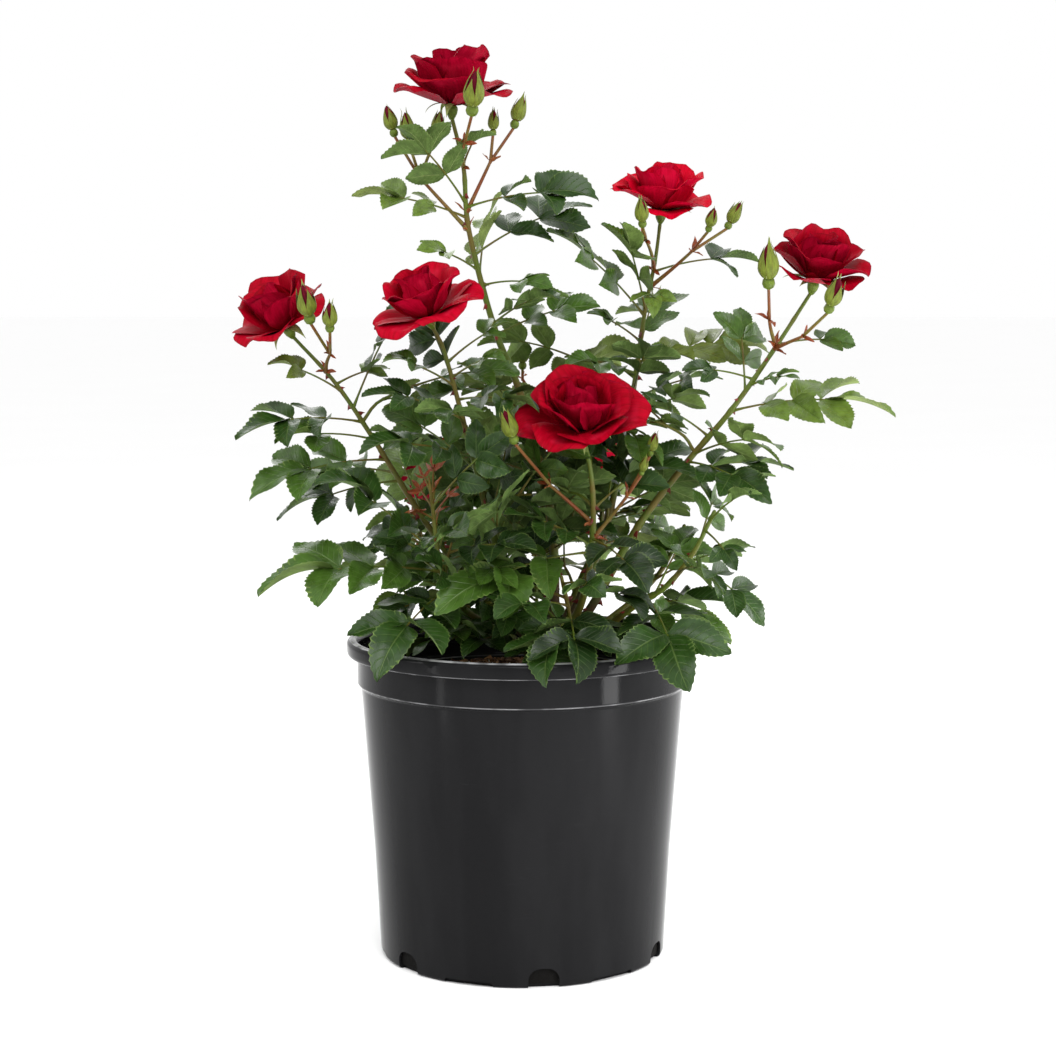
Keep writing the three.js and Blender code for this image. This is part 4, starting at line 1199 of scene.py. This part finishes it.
def add_bloom(name, centre, facing, radius):
    """A bloom: rings of petals round its stamens, on a hip with sepals that hang back."""
    seed, openness, tint = BLOOM_LOOKS[name]
    axes = turned_to(facing)
    for number, ring in enumerate(PETAL_RINGS):
        for petal in range(ring[0]):
            turn = seed + number * 0.6 + petal * 2 * math.pi / ring[0] + pick(-0.25, 0.25)
            add_petal(centre, axes, radius, ring, turn, openness, tint)
    for _ in range(STAMENS):
        lean, turn = pick(*STAMEN_LEANS), pick(0, 6.3)
        direction = np.array([math.sin(lean) * math.cos(turn), math.sin(lean) * math.sin(turn),
                              math.cos(lean)]) @ axes
        end = centre + direction * radius * pick(*STAMEN_LENGTHS)
        add_tube(canes, [centre, (centre + end) / 2, end], np.full(3, 0.25), 4, GREEN)
        add_turned(calyxes, ANTHER_PROFILE, 6, end, axes, ANTHER)
    foot = centre - facing * HIP_LENGTH
    add_turned(calyxes, HIP_PROFILE, 14, foot, axes, HIP)
    for sepal in range(SEPALS):
        lean = np.radians(np.linspace(70, pick(110, 165), SEPAL_STEPS))
        step = pick(*SEPAL_LENGTHS) / SEPAL_STEPS
        radii = HIP_SHOULDER[0] + np.cumsum(np.sin(lean)) * step
        heights = HIP_SHOULDER[1] + np.cumsum(np.cos(lean)) * step
        add_sepal(foot, axes, seed + sepal * 2 * math.pi / SEPALS, radii, heights,
                  SEPAL_HALF_WIDTH)


# The plant ---------------------------------------------------------------------------------------

LEAF_GROUPS = {
    "leaves_top": ("tall", "upper_right"),
    "leaves_left": ("mid_left", "far_left", "low_left"),
    "leaves_right": ("front", "far_right", "low_right", "low_front"),
    "leaves_back": ("back_left", "back_mid", "back_right", "low_back_left", "low_back_right"),
}
leaf_sheaves = {group: Sheaf(has_layout=True) for group in LEAF_GROUPS}
sheaf_of = {name: leaf_sheaves[group] for group, names in LEAF_GROUPS.items() for name in names}


def solid_corners(node):
    """The corners of a solid, in millimetres, ready for a search."""
    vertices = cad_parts[node].data.vertices
    tree = KDTree(len(vertices))
    for i, vertex in enumerate(vertices):
        tree.insert(vertex.co / MM, i)
    tree.balance()
    return tree


def tries_at_leaves(cane, curve):
    """For each leaf of the cane, the tries that its solid made until one found room."""
    for height, tip, pairs in cane.reaches:
        yield (Leaf(curve.at_height(height + shift), np.array(tip, float), REACH_FACING, pairs)
               for shift in REACH_SHIFTS)
    next_try = leaf_rule(cane, curve)
    for i in range(cane.leaves):
        yield (next_try(i) for _ in range(LEAF_TRIES))


def add_solid_leaves(name, cane, curve):
    """The leaves that the cane's solid has."""
    corners = solid_corners(f"foliage_{name}")
    for tries in tries_at_leaves(cane, curve):
        leaf = next((leaf for leaf in tries if leaf.is_in(corners)), None)
        if leaf:
            leaf.add_to(sheaf_of[name], tint_for(leaf))


def solid_tree():
    """A tree of all the solids' faces, in millimetres, that tests what a new leaf would cross."""
    corners, faces = [], []
    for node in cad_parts.values():
        start = len(corners)
        corners += [vertex.co / MM for vertex in node.data.vertices]
        faces += [tuple(start + i for i in face.vertices) for face in node.data.polygons]
    return BVHTree.FromPolygons(corners, faces)


curves = {name: Curve(cane.path) for name, cane in CANES.items()}
shoots = [(name, curves[name].at_height(height), np.array(fork, float), buds)
          for name, cane in CANES.items() for height, fork, buds in cane.shoots]
for name, cane in CANES.items():
    curve = curves[name]
    add_cane(cane, curve)
    add_solid_leaves(name, cane, curve)
    for bearer, start, fork, buds in shoots:
        if bearer == name:
            add_shoot(start, fork, buds)
    if name in YOUNG_TIPS:
        add_young_tip(sheaf_of[name], curve)
    if cane.bloom:
        radius, facing = cane.bloom
        facing = unit(np.array(facing, float))
        add_bloom(name, curve.at(1) + facing * HIP_LENGTH * (1 - HIP_SINK), facing, radius)


# Thickets ----------------------------------------------------------------------------------------

TWIG_LENGTHS = (34, 125)
TWIG_RADII = (1.5, 0.9)
TWIG_RISE = 8
TWIG_TRIES = 40
# A twig's leaves: the share of its length at which each leaves it, and its size.
TWIG_LEAVES = ((0.5, 0.9), (0.76, 1.0), (1.0, 1.12))
THICKET_LEAF = 82
THICKET_SIZES = (0.8, 1.25)
# How far a twig bends along its cane before it turns to its end, as shares of its reach.
TWIG_ELBOW, TWIG_BEND = 0.4, 0.12
# How far past its thicket a leaf may reach, and how many faces it may cross.
THICKET_SLACK = 1.4
CROSSINGS = 2

cad_low = np.array(cad_box[0], float) / MM
cad_high = np.array(cad_box[1], float) / MM
stations = [(name, share, curves[name].at(share)) for name, cane in CANES.items()
            for share in np.linspace(cane.ends[0], cane.ends[1] - 0.08, 30)]
solids = solid_tree()
outlines = []


def clear_outline(leaf):
    """The leaf's outline, if it keeps inside the solids' box and crosses next to nothing."""
    tree, low, high = leaf.outline()
    if (low < cad_low + 1).any() or (high > cad_high - 1).any():
        return None
    crossings = len(tree.overlap(solids))
    for other, other_low, other_high in outlines:
        if (low < other_high).all() and (high > other_low).all():
            crossings += len(tree.overlap(other))
    return (tree, low, high) if crossings <= CROSSINGS else None


def add_extra_leaf(name, leaf, outline):
    """A leaf that no solid has, with its outline kept for the leaves after it."""
    outlines.append(outline)
    leaf.add_to(sheaf_of[name], tint_for(leaf))


def grow_twig(centre, half_sizes):
    """A twig from the nearest fitting cane to a chance place in the thicket, if its leaves fit."""
    end = centre + half_sizes * np.array([pick(-1, 1), pick(-1, 1), pick(-1, 1)])
    if np.linalg.norm((end - centre) / half_sizes) > 1:
        return False
    near = [(np.linalg.norm(end - spot), name, share, spot) for name, share, spot in stations
            if spot[2] < end[2] - TWIG_RISE]
    near = [entry for entry in near if TWIG_LENGTHS[0] < entry[0] < TWIG_LENGTHS[1]]
    if not near:
        return False
    reach, name, share, base = min(near, key=lambda entry: entry[0])
    overall = end - base
    bend = curves[name].tangent(share) * reach * TWIG_BEND
    path = Curve([base, base + overall * TWIG_ELBOW + bend, end])
    turn = pick(0, 6.28)
    grown = []
    for place, size in TWIG_LEAVES:
        heading = path.tangent(place)
        rise = math.radians(pick(60, 85) if place == 1 else pick(15, 45))
        rolls = np.array([pick(*LEAF_ROLLS), pick(*LEAF_ROLLS), 0])
        length = THICKET_LEAF * size * pick(*THICKET_SIZES)
        leaf = leaf_towards(path.at(place), heading, overall, turn, rise, length, rolls)
        turn += GOLDEN_TURN
        inside = np.linalg.norm((leaf.tip - centre) / half_sizes) < THICKET_SLACK
        outline = clear_outline(leaf) if inside else None
        if outline:
            grown.append((leaf, outline))
    if len(grown) < 2:
        return False
    spots = [path.at(share) for share in np.linspace(0, 1, 9)]
    add_tube(canes, spots, between(TWIG_RADII, np.linspace(0, 1, 9)), 7, GREEN)
    for leaf, outline in grown:
        add_extra_leaf(name, leaf, outline)
    return True


for centre, half_sizes, count in THICKETS:
    for _ in range(count):
        any(grow_twig(np.array(centre, float), np.array(half_sizes, float))
            for _ in range(TWIG_TRIES))

for name, height, tip in LOW_LEAVES:
    leaf = Leaf(curves[name].at_height(height), np.array(tip, float), REACH_FACING, LEAF_PAIRS)
    outline = clear_outline(leaf)
    if outline:
        add_extra_leaf(name, leaf, outline)

for name, start, fork, _ in shoots:
    add_bracts(sheaf_of[name], fork, unit(fork - start))
    add_bracts(sheaf_of[name], start, unit(fork - start))


# Pieces of the plant -----------------------------------------------------------------------------

for group, names in LEAF_GROUPS.items():
    leaf_sheaves[group].build(group, leaf_materials, "foliage", [f"foliage_{n}" for n in names])
canes.build("canes", stem_materials, "canes", [f"bough_{name}" for name in CANES])
petals.build("petals", petal_materials, "petals",
             [f"bloom_{name}" for name, cane in CANES.items() if cane.bloom], sharp=70)
calyxes.build("calyxes", calyx_materials, "canes", sharp=70)


def add_crown():
    """The woody foot, with furrowed bark and lumps of burl here and there."""
    levels = np.linspace(0, 1, 40)
    radii = np.interp(levels, np.linspace(0, 1, len(CROWN_RADII)), CROWN_RADII)
    radii = radii * (1 + CROWN_FLARE * np.exp(-levels * 14))
    profile = [(0, 0)] + list(zip(radii, levels * CROWN_HEIGHT)) + [(0, CROWN_HEIGHT + 1.5)]
    corners, faces, caps = lathe(profile, 96)
    for i, (x, y, z) in enumerate(corners):
        radius = math.hypot(x, y)
        if radius > 0.1:
            ridge = abs(noise.fractal(Vector((x / 5.5, y / 5.5, z / 26)), 1.0, 2.1, 5))
            lump = noise.noise(Vector((x / 16, y / 16, z / 14)))
            scale = (radius + BARK_RELIEF * (0.5 - ridge) + BURL_RELIEF * lump) / radius
            x, y = x * scale, y * scale
        corners[i] = (x + CROWN_CENTRE[0] + CROWN_LEAN[0] * z,
                      y + CROWN_CENTRE[1] + CROWN_LEAN[1] * z, z + CROWN_FOOT)
    crown = Sheaf()
    crown.add(corners, faces, caps)
    crown.build("crown_wood", [bark_material()], "bark", ["crown"], sharp=80)


add_crown()


# Pot and potting mix -----------------------------------------------------------------------------

def rounded(profile, radius, steps=4):
    """A profile whose corners are rounded by up to a radius."""
    profile = np.array(profile, float)
    spots = [profile[0]]
    for before, corner, after in zip(profile, profile[1:], profile[2:]):
        cut = min([radius] + [np.linalg.norm(end - corner) * 0.45 for end in (before, after)])
        start = corner + unit(before - corner) * cut
        end = corner + unit(after - corner) * cut
        for t in np.linspace(0, 1, steps):
            spots.append((1 - t) ** 2 * start + 2 * t * (1 - t) * corner + t ** 2 * end)
    return spots + [profile[-1]]


def mesh_from(name, corners, faces):
    mesh = bpy.data.meshes.new(name)
    mesh.from_pydata([tuple(np.array(corner) * MM) for corner in corners], [], faces)
    return mesh


def arch_cutter(opening):
    """Arched blocks that cut a ring of openings in the pot's foot."""
    width, height, first_angle = opening
    corner = min(width / 2, height * 0.6)
    arc = [(width / 2 - corner + corner * math.sin(t), height - corner + corner * math.cos(t))
           for t in np.linspace(math.pi / 2, 0, 7)]
    half = [(width / 2, -FLOOR)] + arc
    outline = half + [(-x, z) for x, z in reversed(half)]
    count = len(outline)
    corners, faces = [], []
    for turn in np.radians(first_angle + 360 / OPENINGS * np.arange(OPENINGS)):
        start = len(corners)
        for depth in (FOOT_RADIUS - CUTTER_DEPTH, FOOT_RADIUS + CUTTER_DEPTH):
            for x, z in outline:
                corners.append((x * math.cos(turn) + depth * math.sin(turn),
                                x * math.sin(turn) - depth * math.cos(turn), z))
        near, far = range(start, start + count), range(start + count, start + 2 * count)
        faces += [tuple(reversed(near)), tuple(far)]
        for i in range(count):
            following = (i + 1) % count
            faces.append((near[i], near[following], far[following], far[i]))
    return corners, faces


def add_pot():
    """The pot, turned in one piece with the ribs inside its band, and cut open round its foot."""
    inner = BAND_RADIUS - WALL
    top = POT_HEIGHT - RIBS_BELOW_RIM
    ribs = [(inner - RIB_DEPTH * (i % 2), top - RIB_SPACING * i) for i in range(RIBS)]
    profile = [
        (0, 0), (FOOT_RADIUS - WALL, 0), (FOOT_RADIUS, WALL), (WAIST_RADIUS, WAIST_HEIGHT),
        (BAND_RADIUS - BAND_STEP, BAND_BOTTOM - WALL), (BAND_RADIUS, BAND_BOTTOM),
        (BAND_RADIUS, LIP_BOTTOM), (LIP_RADIUS - 1, LIP_BOTTOM),
        (LIP_RADIUS, LIP_BOTTOM + LIP_ROUNDING), (LIP_RADIUS, POT_HEIGHT - LIP_ROUNDING),
        (LIP_RADIUS - LIP_ROUNDING, POT_HEIGHT), (LIP_RADIUS - LIP_WIDTH, POT_HEIGHT),
        (inner, POT_HEIGHT - 5), *ribs, (inner, BAND_BOTTOM + WALL),
        (BAND_RADIUS - BAND_STEP - WALL, BAND_BOTTOM - WALL), (WAIST_RADIUS - WALL, WAIST_HEIGHT),
        (FOOT_RADIUS - WALL, FLOOR), (0, FLOOR),
    ]
    corners, faces, caps = lathe(rounded(profile, POT_ROUNDING), POT_SEGMENTS)
    body = show("pot_body", mesh_from("pot_body", corners, faces.tolist() + caps.tolist()))
    cutters = [show("cutter", mesh_from("cutter", *arch_cutter(opening)))
               for opening in (DRAIN_HOLE, FOOT_NOTCH)]
    for cutter in cutters:
        modifier = body.modifiers.new("opening", "BOOLEAN")
        modifier.object = cutter
        modifier.operation = "DIFFERENCE"
        modifier.solver = "EXACT"
    shaped = body.evaluated_get(bpy.context.evaluated_depsgraph_get())
    mesh = bpy.data.meshes.new_from_object(shaped)
    mesh.name = "pot_shell"
    for helper in [body] + cutters:
        bpy.data.objects.remove(helper)
    finish_piece("pot_shell", mesh, [pot_material()], ["pot"], 32)


def mound(radius):
    """How high the mix stands at a distance from the pot's axis."""
    middle = (BAND_RADIUS - WALL) / 2
    fall = max(0.0, (radius - middle) / middle)
    return MIX_TOP - (MIX_TOP - MIX_EDGE_HEIGHT) * fall ** 1.3


BOX = np.array([[x, y, z] for x in (-1, 1) for y in (-1, 1) for z in (-1, 1)], float) / 2
BOX_SIDES = np.array([[0, 1, 3, 2], [4, 6, 7, 5], [0, 4, 5, 1], [2, 3, 7, 6], [0, 2, 6, 4],
                      [1, 5, 7, 3]])
# Slots of the mix's materials, after the peat's.
BARK_DARK, BARK_LIGHT, PERLITE = 1, 2, 3


def add_chip(soil, reach):
    """A chip of bark or a grain of perlite: an uneven box that lies on the mix as it fell."""
    radius, turn = reach * math.sqrt(chance()), pick(0, 2 * math.pi)
    is_perlite = chance() < PERLITE_SHARE
    size = PERLITE_SIZE if is_perlite else [pick(*limits) for limits in CHIP_SIZES]
    jitter = 1 + 0.5 * np.array([[chance() - 0.5 for _ in range(3)] for _ in range(8)])
    axes = turned_to(unit(np.array([pick(-0.5, 0.5), pick(-0.5, 0.5), 1])))
    chip = BOX * jitter * np.array(size) @ turning(pick(0, 6.28)) @ axes
    spot = np.array([radius * math.cos(turn), radius * math.sin(turn),
                     mound(radius) + pick(-1, 1)])
    if is_perlite:
        slot = PERLITE
    else:
        slot = BARK_LIGHT if chance() < LIGHT_CHIPS else BARK_DARK
    soil.add(chip + spot, BOX_SIDES, slots=slot)


def add_potting_mix():
    """The moist mix: a crumbly mound with chips of bark and a few grains of perlite on it."""
    edge = BAND_RADIUS - BAND_STEP - WALL - MIX_GAP
    radii = edge * (1 - np.linspace(0, 1, 46) * 0.985)
    profile = [(0, FLOOR + 0.3), (FOOT_RADIUS - WALL - MIX_GAP, FLOOR + 0.3),
               (WAIST_RADIUS - WALL - MIX_GAP, WAIST_HEIGHT), (edge, MIX_EDGE_HEIGHT - 4)]
    profile += [(radius, mound(radius)) for radius in radii] + [(0, mound(0))]
    corners, faces, caps = lathe(profile, 120)
    for i, (x, y, z) in enumerate(corners):
        if z > MIX_EDGE_HEIGHT - 1:
            crumble = noise.fractal(Vector((x / 9, y / 9, 0)), 1.0, 2.0, 4)
            corners[i, 2] = z + MIX_ROUGHNESS * crumble - 1
    soil = Sheaf()
    soil.add(corners, faces, caps)
    for _ in range(CHIPS):
        add_chip(soil, edge - 6)
    soil.build("potting_mix_crumbs", [
        mix_material("mix_peat", colour(34, 24, 18), colour(66, 48, 36)),
        mix_material("mix_bark_dark", colour(52, 34, 24), colour(84, 58, 40)),
        mix_material("mix_bark_light", colour(92, 64, 42), colour(128, 94, 62)),
        mix_material("mix_perlite", colour(206, 204, 196), colour(232, 230, 224)),
    ], "potting_mix", ["potting_mix"], sharp=35)


add_pot()
add_potting_mix()


# Studio ------------------------------------------------------------------------------------------

CAMERA_PLACE = (0.0046, -1.781, 0.523)
CAMERA_PITCH = 0.1018
CAMERA_LENS = 76.67
FLOOR_SIZE = 60
# Area lamps: name, place, what they aim at, size and power, in metres and watts.
LAMPS = [
    ("key", (0.6, -2.1, 2.1), (0, 0, 0.35), (1.8, 1.6), 36),
    ("rim", (0, -1.6, 2.1), (0, 0, 0.25), (2.2, 0.08), 12),
    ("edge", (1.5, 0.4, 0.7), (0, 0, 0.2), (0.3, 1.6), 12),
    ("back", (-0.6, 1.8, 1.6), (0, 0, 0.4), (1.4, 1.0), 12),
    ("left", (-1.4, -0.4, 1.3), (-0.15, 0, 0.42), (0.5, 0.9), 7),
    ("band", (0.54, -0.34, 0.15), (0, 0, 0.15), (0.13, 0.3), 2.2),
    ("faint_band", (-0.46, -0.36, 0.15), (0, 0, 0.15), (0.05, 0.3), 0.2),
]


def add_floor():
    mesh = bpy.data.meshes.new("floor")
    size = FLOOR_SIZE
    mesh.from_pydata([(-size, -size, 0), (size, -size, 0), (size, size, 0), (-size, size, 0)], [],
                     [(0, 1, 2, 3)])
    nodes = Nodes("floor_paper")
    cloud = nodes.noise(1.5, nodes.place(), 2.0)
    nodes.to_shader(Base_Color=nodes.mix(cloud, (0.97, 0.97, 0.97, 1), (0.99, 0.99, 0.99, 1)),
                    Roughness=nodes.ramp(cloud, 0.3, 0.7, 0.85, 0.95))
    mesh.materials.append(nodes.material)
    show("floor", mesh)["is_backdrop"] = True


def add_light(name, place, aim, size, power):
    light = bpy.data.lights.new(name, "AREA")
    light.shape = "RECTANGLE"
    light.size, light.size_y = size
    light.energy = power
    lamp = show(name, light)
    lamp.location = place
    lamp.visible_camera = False
    lamp.rotation_euler = (Vector(place) - Vector(aim)).to_track_quat("Z", "Y").to_euler()


def add_camera():
    lens = bpy.data.cameras.new("camera")
    lens.lens = CAMERA_LENS
    lens.sensor_width = 36
    lens.clip_end = 200
    camera = show("camera", lens)
    camera.location = CAMERA_PLACE
    camera.rotation_euler = (math.pi / 2 - CAMERA_PITCH, 0, 0)
    bpy.context.scene.camera = camera


add_floor()
for lamp_entry in LAMPS:
    add_light(*lamp_entry)
add_camera()

world = bpy.data.worlds.new("studio")
world.use_nodes = True
background = world.node_tree.nodes["Background"].inputs
background["Color"].default_value = (1, 1, 1, 1)
background["Strength"].default_value = 1.0
bpy.context.scene.world = world
bpy.context.scene.view_settings.view_transform = "Standard"

sizes = {"cad": cad_box, "visual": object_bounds()}
{key: [list(map(float, corner)) for corner in box] for key, box in sizes.items()}
